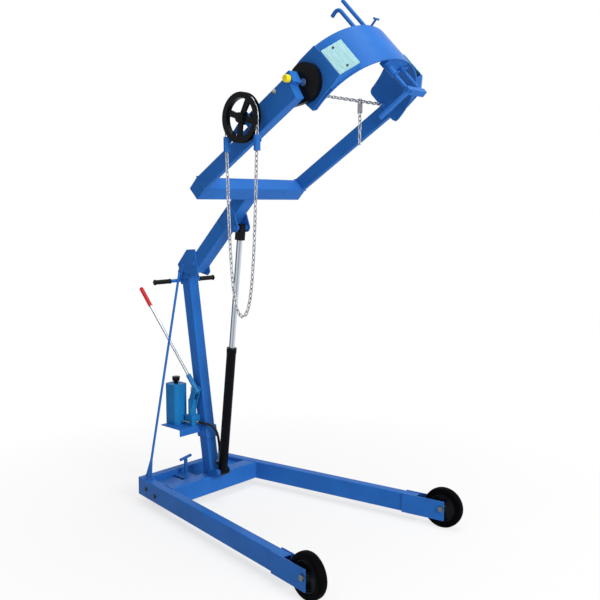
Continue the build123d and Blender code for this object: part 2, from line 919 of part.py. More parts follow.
handle_height = mast_length - handle_drop
handle_offset = -mast_half - handle_pad_thick - handle_radius + handle_sink
handle_spot = (handle_offset, handle_height)
handle_axis = plan.to_local_coords(mast_frame.from_local_coords((handle_offset, 0, handle_height)))
mast_top = plan.to_local_coords(mast_frame.from_local_coords((0, 0, mast_length)))
brace_foot_side = leg_inner(brace_foot_along) + brace_foot_width / 2 + brace_foot_inset
with BuildPart() as side_brace:
    top_along = handle_axis.X + handle_radius + brace_clear + brace_radius
    top_height = handle_axis.Z + brace_rise
    hull_plate(
        ground,
        [
            (top_along, top_height, brace_tab_radius),
            (top_along, top_height - brace_tab_drop, brace_tab_foot_radius),
            (mast_top.X, mast_top.Z, brace_anchor_radius),
        ],
        -cheek_outer - brace_tab_thick,
        -cheek_outer,
    )
    brace_top = at(top_along, -cheek_outer - brace_radius - brace_seat, top_height)
    brace_foot = at(brace_foot_along, -brace_foot_side, frame_top + brace_foot_thick / 2)
    rod(brace_top, brace_foot, brace_radius)
    flare_side = Vector(1, 0, 0).cross(brace_top - brace_foot)
    with BuildSketch(Plane(origin=brace_foot, x_dir=(1, 0, 0), z_dir=flare_side)):
        with BuildLine():
            Polyline(
                (-brace_foot_length / 2, 0),
                (brace_foot_length / 2, 0),
                (brace_flare_tip / 2, brace_flare_height),
                (-brace_flare_tip / 2, brace_flare_height),
                close=True,
            )
        make_face()
    extrude(amount=brace_foot_thick / 2, both=True)
    block(
        plan,
        (brace_foot_along - brace_foot_length / 2, -brace_foot_side - brace_foot_width / 2, frame_top),
        (
            brace_foot_along + brace_foot_length / 2,
            -brace_foot_side + brace_foot_width / 2,
            frame_top + brace_foot_thick,
        ),
    )
save(side_brace, "side_brace")

with BuildPart() as push_handle:
    block(
        mast_frame,
        (-mast_half - handle_pad_thick, -handle_pad_width / 2, handle_height - handle_pad_height / 2),
        (-mast_half, handle_pad_width / 2, handle_height + handle_pad_height / 2),
    )
    disc(mast_view, handle_spot, handle_radius, -handle_half, handle_half)
save(push_handle, "push_handle")

with BuildPart() as handle_grips:
    disc(mast_view, handle_spot, grip_radius, grip_start, handle_half + grip_cap)
    disc(mast_view, handle_spot, grip_flange_radius, grip_start, grip_start + grip_flange)
    disc(
        mast_view,
        handle_spot,
        grip_end_radius,
        handle_half + grip_cap - grip_flange,
        handle_half + grip_cap,
    )
    disc(mast_view, handle_spot, handle_radius + fit_gap, 0, handle_half + fit_gap, Mode.SUBTRACT)
    mirror(about=Plane.XZ)
save(handle_grips, "handle_grips")

# Boom, yoke and cylinder ears
with BuildPart() as boom:
    block(boom_frame, (-boom_tail, -boom_half, -boom_half), (boom_reach, boom_half, boom_half))
    fillet(boom.edges().filter_by(Axis(boom_frame.origin, boom_frame.x_dir)), tube_round)
    bore_half = boom_half - boom_wall
    block(
        boom_frame,
        (-boom_tail + boom_wall, -bore_half, -bore_half),
        (boom_reach + 1, bore_half, bore_half),
        Mode.SUBTRACT,
    )
    disc(boom_view, (0, 0), boom_bush_radius, -boom_half, boom_half)
    disc(boom_view, (0, 0), pivot_pin_radius + fit_gap, -boom_half, boom_half, Mode.SUBTRACT)
save(boom, "boom")

with BuildPart() as yoke_crossmember:
    block(boom_frame, (yoke_rear, -yoke_half, -boom_half), (yoke_front, yoke_half, boom_half))
    fillet(yoke_crossmember.edges().filter_by(Axis.Y), tube_round)
    block(
        boom_frame,
        (yoke_rear + boom_wall, -yoke_half - 1, -bore_half),
        (yoke_front - boom_wall, yoke_half + 1, bore_half),
        Mode.SUBTRACT,
    )
with BuildPart() as yoke_caps:
    block(
        boom_frame,
        (yoke_rear + boom_wall, yoke_half - boom_wall, -bore_half),
        (yoke_front - boom_wall, yoke_half, bore_half),
    )
    mirror(about=Plane.XZ)
save_group([yoke_crossmember, yoke_caps], "yoke_crossmember")

ear_outer = boom_half + plate_thick
ear_spot = (ear_along, -ear_drop)
with BuildPart() as boom_ears:
    hull_plate(
        boom_view,
        [(ear_along, -ear_drop, ear_radius)],
        boom_half,
        ear_outer,
        [
            (ear_along - ear_length / 2, -boom_half),
            (ear_along + ear_length / 2, -boom_half),
            (ear_along + ear_length / 2, -boom_half + ear_lap),
            (ear_along - ear_length / 2, -boom_half + ear_lap),
        ],
    )
    disc(boom_view, ear_spot, ear_pin_radius, rod_end_half + ear_pin_gap, ear_outer + pin_head)
    mirror(about=Plane.XZ)
save(boom_ears, "boom_ears")

# Lift cylinder with its base lugs
lug_outer = mast_half + lift_lug_thick
with BuildPart() as lift_lugs:
    hull_plate(
        ground,
        [(lift_base[0], lift_base[1], lift_lug_radius)],
        mast_half,
        lug_outer,
        [
            (lift_base[0] - lift_lug_back, frame_top),
            (cross_front, frame_top),
            (cross_front, frame_top + lift_lug_slope),
            (lift_base[0] - lift_lug_back + lift_lug_slope, frame_top + lift_lug_rise),
            (lift_base[0] - lift_lug_back, frame_top + lift_lug_rise),
        ],
    )
    disc(ground, lift_base, lift_pin_radius + fit_gap, mast_half, lug_outer, Mode.SUBTRACT)
    mirror(about=Plane.XZ)
with BuildPart() as lift_pin:
    disc(ground, lift_base, lift_pin_radius, -lug_outer, lug_outer)
    for face in (-lug_outer - pin_head, lug_outer):
        disc(ground, lift_base, lift_head_radius, face, face + pin_head)
save_group([lift_lugs, lift_pin], "lift_base_mount")

gland_top = barrel_length + gland_stand
bore_top = gland_top - gland_length
lift_rod_tail = bore_top - lift_piston_length - piston_stop
lift_axis = lift_frame.z_dir
with BuildPart() as lift_barrel:
    rod(lift_low + lift_axis * lift_eye_radius / 2, lift_low + lift_axis * barrel_length, barrel_radius)
    disc(lift_view, (0, 0), lift_eye_radius, -mast_half + run_gap, mast_half - run_gap)
    rod(lift_low + lift_axis * bore_top, lift_low + lift_axis * gland_top, gland_radius)
    block(lift_frame, (-port_reach, -port_half, port_low), (0, port_half, port_high))
    disc(lift_view, (0, 0), lift_pin_radius + fit_gap, -mast_half, mast_half, Mode.SUBTRACT)
    rod(lift_low + lift_axis * barrel_floor, lift_low + lift_axis * bore_top, barrel_bore, Mode.SUBTRACT)
    rod(
        lift_low + lift_axis * bore_top,
        lift_low + lift_axis * (gland_top + 1),
        lift_rod_radius + fit_gap,
        Mode.SUBTRACT,
    )
save(lift_barrel, "lift_barrel")

rod_top = lift_length - rod_end_length
with BuildPart() as lift_rod:
    rod(lift_low + lift_axis * lift_rod_tail, lift_low + lift_axis * rod_top, lift_rod_radius)
    rod(
        lift_low + lift_axis * lift_rod_tail,
        lift_low + lift_axis * (lift_rod_tail + lift_piston_length),
        barrel_bore - fit_gap,
    )
save(lift_rod, "lift_rod")

with BuildPart() as rod_end:
    block(lift_frame, (-rod_end_half, -rod_end_half, rod_top), (rod_end_half, rod_end_half, lift_length))
    disc(lift_view, (0, lift_length), rod_eye_radius, -rod_end_half, rod_end_half)
    disc(lift_view, (0, lift_length), rod_eye_bore, -rod_end_half, rod_end_half, Mode.SUBTRACT)
save(rod_end, "rod_end")

# Yoke arms
trunnion_spot = (trunnion_along, trunnion_rise)
wall_low = -arm_half + arm_wall
with BuildPart() as near_arm:
    block(arm_frame, (-arm_depth, -yoke_half, -arm_half), (box_start, -arm_inner, arm_half))
    fillet(near_arm.edges().filter_by(Axis(arm_frame.origin, arm_frame.x_dir)), tube_round)
    block(
        arm_frame,
        (-arm_depth - 1, -yoke_half + arm_wall, wall_low),
        (box_start + 1, -arm_inner - arm_wall, -wall_low),
        Mode.SUBTRACT,
    )
    split(bisect_by=yoke_face, keep=Keep.TOP)
save(near_arm, "near_arm")

with BuildPart() as far_arm:
    block(arm_frame, (-arm_depth, arm_inner, -arm_half), (trunnion_along, yoke_half, arm_half))
    fillet(far_arm.edges().filter_by(Axis(arm_frame.origin, arm_frame.x_dir)), tube_round)
    block(
        arm_frame,
        (-arm_depth - 1, arm_inner + arm_wall, wall_low),
        (trunnion_along - far_eye_radius, yoke_half - arm_wall, -wall_low),
        Mode.SUBTRACT,
    )
    disc(arm_view, trunnion_spot, far_eye_radius, arm_inner, yoke_half)
    disc(arm_view, trunnion_spot, trunnion_radius + fit_gap, arm_inner, yoke_half, Mode.SUBTRACT)
    split(bisect_by=yoke_face, keep=Keep.TOP)
save(far_arm, "far_arm")

# Drive box on the near arm, with its end caps and the lug for the lock plunger
plunger_spot = (trunnion_along + plunger_offset[0], trunnion_rise + plunger_offset[1])
shaft_spot = (wheel_shaft_along, wheel_shaft_rise)
pinion_spot = (pinion_along, trunnion_rise)
with BuildPart() as box_tube:
    block(arm_frame, (box_start, -box_outer, box_low), (box_end, -arm_inner, box_high))
    fillet(box_tube.edges().filter_by(Axis(arm_frame.origin, arm_frame.x_dir)), tube_round)
    block(
        arm_frame,
        (box_start - 1, -box_outer + arm_wall, box_low + arm_wall),
        (box_end + 1, -arm_inner - arm_wall, box_high - arm_wall),
        Mode.SUBTRACT,
    )
    bore = drive_shaft_radius + fit_gap
    disc(arm_view, shaft_spot, bore, -box_outer, -arm_inner, Mode.SUBTRACT)
    disc(arm_view, pinion_spot, bore, -arm_inner - arm_wall, -arm_inner, Mode.SUBTRACT)
with BuildPart() as box_caps:
    for start in (box_start, box_end - box_cap):
        block(
            arm_frame,
            (start, -box_outer + arm_wall, box_low + arm_wall),
            (start + box_cap, -arm_inner - arm_wall, box_high - arm_wall),
        )
with BuildPart() as lock_lug:
    block(arm_frame, (box_end, -box_outer, lug_low), (box_end + lug_length, -arm_inner, lug_high))
    disc(arm_view, plunger_spot, plunger_radius + fit_gap, -box_outer, -arm_inner, Mode.SUBTRACT)
save_group([box_tube, box_caps, lock_lug], "drive_box")

# Gear housing and its cover
housing_circles = [
    (trunnion_along, trunnion_rise, housing_radius),
    (pinion_along, trunnion_rise, housing_nose_radius),
]
cavity_circles = [(x, z, radius - housing_wall) for x, z, radius in housing_circles]
cover_face = -housing_inner - housing_cover
with BuildPart() as housing_shell:
    hull_plate(arm_view, housing_circles, -arm_inner, cover_face)
    hull_plate(arm_view, cavity_circles, -arm_inner + housing_back, cover_face, mode=Mode.SUBTRACT)
    disc(arm_view, trunnion_spot, trunnion_radius + fit_gap, -arm_inner, cover_face, Mode.SUBTRACT)
    disc(arm_view, pinion_spot, drive_shaft_radius + fit_gap, -arm_inner, cover_face, Mode.SUBTRACT)
    disc(arm_view, plunger_spot, plunger_radius + fit_gap, -arm_inner, cover_face, Mode.SUBTRACT)
with BuildPart() as housing_lid:
    hull_plate(arm_view, housing_circles, cover_face, -housing_inner)
    disc(arm_view, trunnion_spot, cover_hole_radius, cover_face, -housing_inner, Mode.SUBTRACT)
save_group([housing_shell, housing_lid], "gear_housing")

# Pinion shaft with its sprocket
chain_middle = -(box_outer + arm_inner) / 2
sprocket_low = chain_middle - sprocket_width / 2
sprocket_high = chain_middle + sprocket_width / 2
with BuildPart() as pinion_shaft:
    pinion_points = shifted(gear_outline(pinion_teeth, gear_backlash, pi / pinion_teeth), pinion_spot)
    plate(arm_view, pinion_points, -gear_near, -gear_far)
    shaft_low = -box_outer + arm_wall + run_gap
    disc(arm_view, pinion_spot, drive_shaft_radius, shaft_low, cover_face - run_gap)
    sprocket(pinion_spot, pinion_sprocket_teeth, sprocket_low, sprocket_high)
save(pinion_shaft, "pinion_shaft")

# Roller chain in the drive box: two plate loops, with rollers along the straight runs
loop_radii = [
    sprocket_pitch / (2 * sin(pi / teeth)) for teeth in (wheel_sprocket_teeth, pinion_sprocket_teeth)
]
loop_centres = [shaft_spot, pinion_spot]
run_line = Vector(*pinion_spot) - Vector(*shaft_spot)
run_spread = acos((loop_radii[0] - loop_radii[1]) / run_line.length)
run_heading = atan2(run_line.Y, run_line.X)
plate_near = sprocket_width / 2 + run_gap
with BuildPart() as drive_chain:
    for side in (-1, 1):
        faces = sorted((chain_middle + side * plate_near, chain_middle + side * (plate_near + chain_plate)))
        for margin, mode in ((chain_plate_half, Mode.ADD), (-chain_plate_half, Mode.SUBTRACT)):
            circles = [(*spot, radius + margin) for spot, radius in zip(loop_centres, loop_radii)]
            hull_plate(arm_view, circles, *faces, mode=mode)
    run_length = (run_line.length**2 - (loop_radii[0] - loop_radii[1]) ** 2) ** 0.5
    for side in (-1, 1):
        normal = run_heading + side * run_spread
        start = Vector(*shaft_spot) + Vector(cos(normal), sin(normal)) * loop_radii[0]
        end = Vector(*pinion_spot) + Vector(cos(normal), sin(normal)) * loop_radii[1]
        for step in range(2, int(run_length / sprocket_pitch) - 2):
            spot = start + (end - start).normalized() * (step * sprocket_pitch)
            disc(
                arm_view,
                (spot.X, spot.Y),
                roller_radius,
                chain_middle - plate_near - chain_plate,
                chain_middle + plate_near + chain_plate,
            )
save(drive_chain, "drive_chain")

# Hand chain wheel on its shaft
groove_half = (link_inner_width + 2 * link_wire) / 2
groove_floor = chain_pitch_radius - groove_half - groove_gap
with BuildPart() as hand_wheel_body:
    disc(hand_wheel_view, (0, 0), hand_wheel_radius, -wheel_front, -wheel_back)
    groove_side = groove_half + groove_gap
    with BuildSketch(hand_wheel_view.offset(wheel_middle - groove_side)) as groove:
        Circle(hand_wheel_radius + 1)
        Circle(groove_floor, mode=Mode.SUBTRACT)
    extrude(groove.sketch, amount=2 * groove_side, mode=Mode.SUBTRACT)
    disc(hand_wheel_view, (0, 0), hand_rim_inner, -wheel_front, -wheel_back, Mode.SUBTRACT)
    rim_edges = hand_wheel_body.edges().filter_by(GeomType.CIRCLE).group_by(SortBy.RADIUS)
    fillet(rim_edges[-1] + rim_edges[0], hand_rim_round)
    spoke_end = hand_rim_inner + 2
    disc(hand_wheel_view, (0, 0), hand_hub_radius, -wheel_front - 4, -box_outer - 2 * run_gap)
    for turn in spoke_turns:
        heading = Plane(origin=hand_wheel_frame.origin).rotated((0, -turn, 0))
        plate(
            elevation(heading),
            [(0, -spoke_root / 2), (spoke_end, -spoke_tip / 2), (spoke_end, spoke_tip / 2), (0, spoke_root / 2)],
            -wheel_middle - spoke_thick / 2,
            -wheel_middle + spoke_thick / 2,
        )
    disc(
        hand_wheel_view, (0, 0), drive_shaft_radius + fit_gap, -wheel_front - 5, -box_outer, Mode.SUBTRACT
    )
with BuildPart() as wheel_shaft:
    disc(arm_view, shaft_spot, drive_shaft_radius, -wheel_front - 6, -arm_inner - run_gap)
    sprocket(shaft_spot, wheel_sprocket_teeth, sprocket_low, sprocket_high)
save_group([hand_wheel_body, wheel_shaft], "chain_wheel")

# Catenary of the pull chain, from its width at the wheel and its drop
scale_low = 5.0
scale_high = chain_pitch_radius
for step in range(60):
    chain_scale = (scale_low + scale_high) / 2
    if chain_scale * (cosh(chain_pitch_radius / chain_scale) - 1) > chain_drop:
        scale_low = chain_scale
    else:
        scale_high = chain_scale
strand = chain_scale * sinh(chain_pitch_radius / chain_scale)
chain_length = 2 * strand + pi * chain_pitch_radius
link_step = chain_length / chain_links
link_inner = link_step + link_slack
print("pull chain length", round(chain_length), "link step", round(link_step, 2))


def chain_pin(run):
    """Point on the pull chain's loop from the wheel's axis, a run measured from its lowest point."""
    if run > chain_length / 2:
        pin = chain_pin(chain_length - run)
        return Vector(-pin.X, pin.Y, pin.Z)
    if run <= strand:
        x = chain_scale * asinh(run / chain_scale)
        return Vector(x, -wheel_middle, chain_scale * (cosh(x / chain_scale) - 1) - chain_drop)
    turn = (run - strand) / chain_pitch_radius
    return Vector(chain_pitch_radius * cos(turn), -wheel_middle, chain_pitch_radius * sin(turn))


# Chain guide hung on the wheel's hub
guide_drop = chain_drop + (guide_low + guide_high) / 2
guide_foot = chain_scale * acosh(1 + guide_drop / chain_scale)
with BuildPart() as chain_guide:
    strap_far = -wheel_back + run_gap + guide_strap
    strap_near = -wheel_back + run_gap
    disc(hand_wheel_view, (0, 0), guide_collar_radius, strap_near, strap_far)
    for side in (-1, 1):
        foot = side * guide_foot
        hull_plate(
            hand_wheel_view,
            [(0, 0, guide_arm_width / 2), (foot, guide_high - guide_arm_width, guide_arm_width / 2)],
            strap_near,
            strap_far,
        )
        block(
            hand_wheel_frame,
            (foot - guide_web / 2, -wheel_middle, guide_low),
            (foot + guide_web / 2, strap_far, guide_high),
        )
        tube_low = hand_wheel_frame.from_local_coords((foot, -wheel_middle, guide_low))
        tube_high = hand_wheel_frame.from_local_coords((foot, -wheel_middle, guide_high))
        rod(tube_low, tube_high, guide_radius)
        rod(tube_low, tube_high, guide_radius - guide_wall, Mode.SUBTRACT)
    disc(hand_wheel_view, (0, 0), hand_hub_radius + run_gap, strap_near, strap_far, Mode.SUBTRACT)
save(chain_guide, "chain_guide")

# Pull chain: separate links over the wheel and down to the loop's foot
pull_links = []
for number in range(chain_links):
    start = hand_wheel_frame.origin + chain_pin(number * link_step)
    end = hand_wheel_frame.origin + chain_pin((number + 1) * link_step)
    across = Vector(0, 1, 0) if number % 2 else (end - start).cross(Vector(0, 1, 0))
    with BuildPart() as pull_link:
        link(Plane(origin=(start + end) / 2, x_dir=end - start, z_dir=across))
    pull_links.append(pull_link)
save_group(pull_links, "pull_chain")

# Lock plunger
web_face = -gear_far - gear_web
knob_start = -box_outer - knob_neck
with BuildPart() as lock_plunger:
    disc(arm_view, plunger_spot, knob_radius, knob_start - knob_length, knob_start)
    fillet(lock_plunger.edges().filter_by(GeomType.CIRCLE), knob_round)
    disc(arm_view, plunger_spot, plunger_radius, knob_start - 1, web_face - plunger_tip_gap)
save(lock_plunger, "lock_plunger")

# Tilt gear and trunnion shafts
with BuildPart() as tilt_gear:
    plate(arm_view, shifted(gear_outline(gear_teeth, gear_backlash, 0), trunnion_spot), -gear_near, -gear_far)
    with BuildSketch(arm_view.offset(gear_near)) as dish:
        with Locations(trunnion_spot):
            Circle(gear_rim_radius)
            Circle(gear_hub_radius, mode=Mode.SUBTRACT)
    extrude(dish.sketch, amount=-(gear_width - gear_web), mode=Mode.SUBTRACT)
    disc(arm_view, trunnion_spot, trunnion_radius + fit_gap, -gear_near, -gear_far, Mode.SUBTRACT)
save(tilt_gear, "tilt_gear")

with BuildPart() as trunnion_shafts:
    disc(arm_view, trunnion_spot, trunnion_radius, -arm_inner + 0.2, -bracket_outer)
    disc(arm_view, trunnion_spot, trunnion_radius, bracket_outer, yoke_half + run_gap + collar_length)
    disc(arm_view, trunnion_spot, collar_radius, bracket_outer, arm_inner - run_gap)
    disc(arm_view, trunnion_spot, collar_radius, yoke_half + run_gap, yoke_half + run_gap + collar_length)
save(trunnion_shafts, "trunnion_shafts")


def holder_point(level, side, along):
    """Point in the holder's own frame."""
    return holder_frame.from_local_coords((level, side, along))


# Saddle with its welded rod guides, sleeves and chain lugs
guide_rear = -saddle_half + guide_block_inset
guide_front = saddle_half - guide_block_inset - guide_block_length
guide_floor = hook_rod_level + guide_block_depth
guide_face = guide_front + guide_block_length
lid_screw_spot = lid_sleeve_rear + screw_stem_inset
cinch_links = int((2 * (saddle_radius - cinch_room) - link_inner - 2 * link_wire) / link_step) + 1
cinch_half = ((cinch_links - 1) * link_step + link_inner + 2 * link_wire) / 2
with BuildPart() as saddle:
    with BuildSketch(holder_frame.offset(-saddle_half)):
        with Locations((saddle_offset, 0)):
            Circle(saddle_radius + saddle_wall)
            Circle(saddle_radius, mode=Mode.SUBTRACT)
        with Locations((saddle_tip, 0)):
            Rectangle(
                2 * saddle_radius,
                3 * saddle_radius,
                align=(Align.MIN, Align.CENTER),
                mode=Mode.SUBTRACT,
            )
    extrude(amount=2 * saddle_half)
    corners = saddle.edges().filter_by(lambda edge: saddle_wall - 0.5 < edge.length < saddle_wall + 0.5)
    fillet(corners, saddle_corner)
    for start in (guide_rear, guide_front):
        with BuildSketch(holder_frame.offset(start)):
            with BuildLine():
                Polyline(
                    (guide_floor, bottom_rod_side - guide_block_margin),
                    (guide_floor, lid_rod_side + guide_block_margin),
                    (guide_floor - saddle_radius / 2, lid_rod_side + guide_block_margin),
                    (guide_floor - saddle_radius / 2, bottom_rod_side - guide_block_margin),
                    close=True,
                )
            make_face()
            with Locations((saddle_offset, 0)):
                Circle(saddle_radius + saddle_wall / 2, mode=Mode.INTERSECT)
        extrude(amount=guide_block_length)
    for side in (-1, 1):
        lug_end = side * (saddle_radius + saddle_wall / 2)
        lug_start = side * (cinch_half + run_gap)
        block(
            holder_frame,
            (cinch_level - cinch_lug / 2, min(lug_start, lug_end), -cinch_lug / 2),
            (cinch_level + cinch_lug / 2, max(lug_start, lug_end), cinch_lug / 2),
        )
    rod(
        holder_point(hook_rod_level, lid_rod_side, lid_sleeve_rear),
        holder_point(hook_rod_level, lid_rod_side, guide_rear + 1),
        sleeve_radius,
    )
    rod(
        holder_point(hook_rod_level, bottom_rod_side, guide_face - 1),
        holder_point(hook_rod_level, bottom_rod_side, bottom_sleeve_front),
        sleeve_radius,
    )
    for rod_side in (bottom_rod_side, lid_rod_side):
        start = holder_point(hook_rod_level, rod_side, lid_sleeve_rear - 1)
        end = holder_point(hook_rod_level, rod_side, bottom_sleeve_front + 1)
        rod(start, end, hook_rod_radius + fit_gap, Mode.SUBTRACT)
    rod(
        holder_point(hook_rod_level, lid_rod_side, lid_screw_spot),
        holder_point(hook_rod_level - sleeve_radius - 1, lid_rod_side, lid_screw_spot),
        screw_stem_radius + fit_gap,
        Mode.SUBTRACT,
    )
save(saddle, "saddle")

# Trunnion brackets: flat side plates with stiffening gussets against the saddle
cover_run = Vector(-cos(cover_angle), -sin(cover_angle))
cover_out = Vector(-sin(cover_angle), cos(cover_angle))
cover_origin = Vector(cover_start, bracket_inner + cover_thick * cos(cover_angle) + 0.1)
cover_back = cover_origin - cover_out * cover_thick
with BuildPart() as trunnion_brackets:
    plate(holder_view, bracket_outline, bracket_inner, bracket_outer)
    for start in (cover_low, cover_high - gusset_thick):
        with BuildSketch(holder_frame.offset(start)):
            with BuildLine():
                lead = (bracket_inner - cover_back.Y) / cover_run.Y
                first = cover_back + cover_run * lead
                last = cover_back + cover_run * cover_length
                Polyline(
                    (first.X + gusset_tail, bracket_inner),
                    (first.X, first.Y),
                    (last.X, last.Y),
                    (last.X + gusset_tail / 2, last.Y - gusset_tail / 2),
                    (first.X + gusset_tail, bracket_inner - gusset_tail / 2),
                    close=True,
                )
            make_face()
            with Locations((saddle_offset, 0)):
                Circle(saddle_radius + saddle_wall + fit_gap, mode=Mode.SUBTRACT)
        extrude(amount=gusset_thick)
    mirror(about=Plane.XZ)
save(trunnion_brackets, "trunnion_brackets")

# Bare cover plates over the gussets, with their screws
cover_face_frame = Plane(
    origin=holder_frame.from_local_coords((cover_origin.X, cover_origin.Y, 0)),
    x_dir=holder_frame.x_dir * cover_run.X + holder_frame.y_dir * cover_run.Y,
    z_dir=holder_frame.x_dir * cover_out.X + holder_frame.y_dir * cover_out.Y,
)
with BuildPart() as cover_plates:
    across = cover_face_frame.y_dir.dot(holder_frame.z_dir)
    edges = sorted((cover_low * across, cover_high * across))
    block(cover_face_frame, (0, edges[0], -cover_thick), (cover_length, edges[1], 0))
    mirror(about=Plane.XZ)
with BuildPart() as cover_screws:
    for inset in (edges[0] + screw_inset, edges[1] - screw_inset):
        with Locations(cover_face_frame.location * Location((cover_length / 2, inset, 0))):
            Cylinder(screw_radius, screw_height, align=(Align.CENTER, Align.CENTER, Align.MIN))
    mirror(about=Plane.XZ)
save_group([cover_plates, cover_screws], "cover_plates")

# Sliding hooks for the drum's two ends
with BuildPart() as bottom_hook:
    with BuildLine() as hook_path:
        FilletPolyline(
            holder_point(hook_rod_level, bottom_rod_side, bottom_rod_front),
            holder_point(hook_rod_level, bottom_rod_side, bottom_rod_rear),
            holder_point(bottom_hook_tip, bottom_rod_side, bottom_rod_rear),
            radius=bottom_hook_bend,
        )
    with BuildSketch(Plane(origin=hook_path.line @ 0, z_dir=hook_path.line % 0)):
        Circle(hook_rod_radius)
    sweep(path=hook_path.line)
save(bottom_hook, "bottom_hook")

with BuildPart() as lid_hook:
    rod(
        holder_point(hook_rod_level, lid_rod_side, lid_rod_rear),
        holder_point(hook_rod_level, lid_rod_side, lid_rod_front + 1),
        hook_rod_radius,
    )
    joint_end = lid_rod_front + lid_joint_length
    block(
        holder_frame,
        (hook_rod_level - lid_joint_half, bottom_rod_side - lid_joint_half, lid_rod_front),
        (hook_rod_level + lid_joint_half, lid_rod_side + lid_joint_half, joint_end),
    )
    bar_run = holder_frame.x_dir * cos(lid_bar_turn) - holder_frame.y_dir * sin(lid_bar_turn)
    bar_foot = holder_point(hook_rod_level, bottom_rod_side, joint_end)
    block(
        Plane(origin=bar_foot, x_dir=bar_run, z_dir=holder_frame.z_dir),
        (0, -lid_bar_width / 2, -lid_bar_thick),
        (lid_bar_reach, lid_bar_width / 2, 0),
    )
    rod(
        holder_point(hook_rod_level, bottom_rod_side, lid_rod_front),
        holder_point(hook_rod_level, bottom_rod_side, joint_end),
        hook_rod_radius + run_gap,
        Mode.SUBTRACT,
    )
save(lid_hook, "lid_hook")

# T-handled clamp screw on the lid rod's sleeve, and the T-handled nut that draws the lid hook up
with BuildPart() as lid_clamp_screw:
    screw_tip = hook_rod_level - hook_rod_radius - screw_tip_gap
    screw_end = hook_rod_level - sleeve_radius - screw_stem_length
    bar_half = screw_bar_length / 2
    rod(
        holder_point(screw_tip, lid_rod_side, lid_screw_spot),
        holder_point(screw_end, lid_rod_side, lid_screw_spot),
        screw_stem_radius,
    )
    rod(
        holder_point(screw_end, lid_rod_side - bar_half, lid_screw_spot),
        holder_point(screw_end, lid_rod_side + bar_half, lid_screw_spot),
        screw_bar_radius,
    )
save(lid_clamp_screw, "lid_clamp_screw")

with BuildPart() as lid_clamp_nut:
    nut_start = guide_face + run_gap
    nut_middle = nut_start + nut_length / 2
    bar_lean = nut_bar_reach * cos(nut_bar_turn)
    bar_side = nut_bar_reach * sin(nut_bar_turn)
    rod(
        holder_point(hook_rod_level, lid_rod_side, nut_start),
        holder_point(hook_rod_level, lid_rod_side, nut_start + nut_length),
        nut_radius,
    )
    rod(
        holder_point(hook_rod_level - bar_lean, lid_rod_side - bar_side, nut_middle),
        holder_point(hook_rod_level + bar_lean, lid_rod_side + bar_side, nut_middle),
        screw_bar_radius,
    )
    rod(
        holder_point(hook_rod_level, lid_rod_side, nut_start - 1),
        holder_point(hook_rod_level, lid_rod_side, nut_start + nut_length + 1),
        hook_rod_radius + run_gap,
        Mode.SUBTRACT,
    )
save(lid_clamp_nut, "lid_clamp_nut")

# Cinch chain across the saddle's mouth, its grab hook and the loose tail
with BuildPart() as cinch_chain:
    for number in range(cinch_links):
        side = (number - (cinch_links - 1) / 2) * link_step
        across = holder_frame.x_dir if number % 2 else holder_frame.z_dir
        link(Plane(origin=holder_point(cinch_level, side, 0), x_dir=(0, 1, 0), z_dir=across))
save(cinch_chain, "cinch_chain")

cinch_spot = holder_point(cinch_level, hook_side, 0)
cinch_frame = Plane(origin=cinch_spot)
cinch_view = elevation(cinch_frame)
hook_eye = groove_half + run_gap
with BuildPart() as cinch_hook:
    disc(cinch_view, (0, 0), hook_eye + hook_thick / 2, -hook_thick / 2, hook_thick / 2)
    block(
        cinch_frame,
        (-hook_width / 2, -hook_thick / 2, -hook_eye - hook_length),
        (hook_width / 2, hook_thick / 2, -hook_eye),
    )
    tail_pin = (0, -hook_eye - hook_length + hook_width / 2)
    disc(cinch_view, (0, 0), hook_eye, -hook_thick / 2, hook_thick / 2, Mode.SUBTRACT)
    disc(cinch_view, tail_pin, link_wire, -hook_thick / 2, hook_thick / 2, Mode.SUBTRACT)
save(cinch_hook, "cinch_hook")

tail_top = tail_pin[1] - tail_sag - (link_inner + link_wire) / 2
with BuildPart() as cinch_tail:
    for number in range(tail_links):
        drop = tail_top - number * link_step
        across = (1, 0, 0) if number % 2 == 0 else (0, 1, 0)
        link(Plane(origin=cinch_spot + Vector(0, 0, drop), x_dir=(0, 0, 1), z_dir=across))
save(cinch_tail, "cinch_tail")

# Pump shelf clamped to the mast
with BuildPart() as shelf_plate:
    block(plan, (shelf_rear, shelf_side, shelf_top - shelf_thick), (shelf_front, -mast_half, shelf_top))
    block(
        plan,
        (shelf_front - shelf_thick, shelf_side, shelf_top - shelf_flange),
        (shelf_front, shelf_flange_end, shelf_top - shelf_thick),
    )
clamp_outer = mast_half + clamp_thick
with BuildPart() as shelf_clamp:
    block(mast_frame, (-clamp_outer, -clamp_outer, 0), (clamp_outer, clamp_outer, shelf_top))
    block(mast_frame, (-mast_half, -mast_half, -1), (mast_half, mast_half, shelf_top + 1), Mode.SUBTRACT)
    split(bisect_by=Plane.XY.offset(shelf_top - clamp_drop), keep=Keep.TOP)
    split(bisect_by=Plane.XY.offset(shelf_top - shelf_thick), keep=Keep.BOTTOM)
save_group([shelf_plate, shelf_clamp], "pump_shelf")

# Oil tank and filler cap
with BuildPart() as oil_tank:
    block(plan, (tank_rear, tank_near, shelf_top), (tank_front, tank_far, tank_top))
    chamfer(oil_tank.edges().filter_by(Axis.Z), tank_chamfer)
save(oil_tank, "oil_tank")

with BuildPart() as tank_cap:
    rod(at(cap_along, cap_side, tank_top), at(cap_along, cap_side, tank_top + cap_neck + 1), cap_neck_radius)
    cap_low = at(cap_along, cap_side, tank_top + cap_neck)
    rod(cap_low, cap_low + Vector(0, 0, cap_height), cap_radius)
save(tank_cap, "tank_cap")

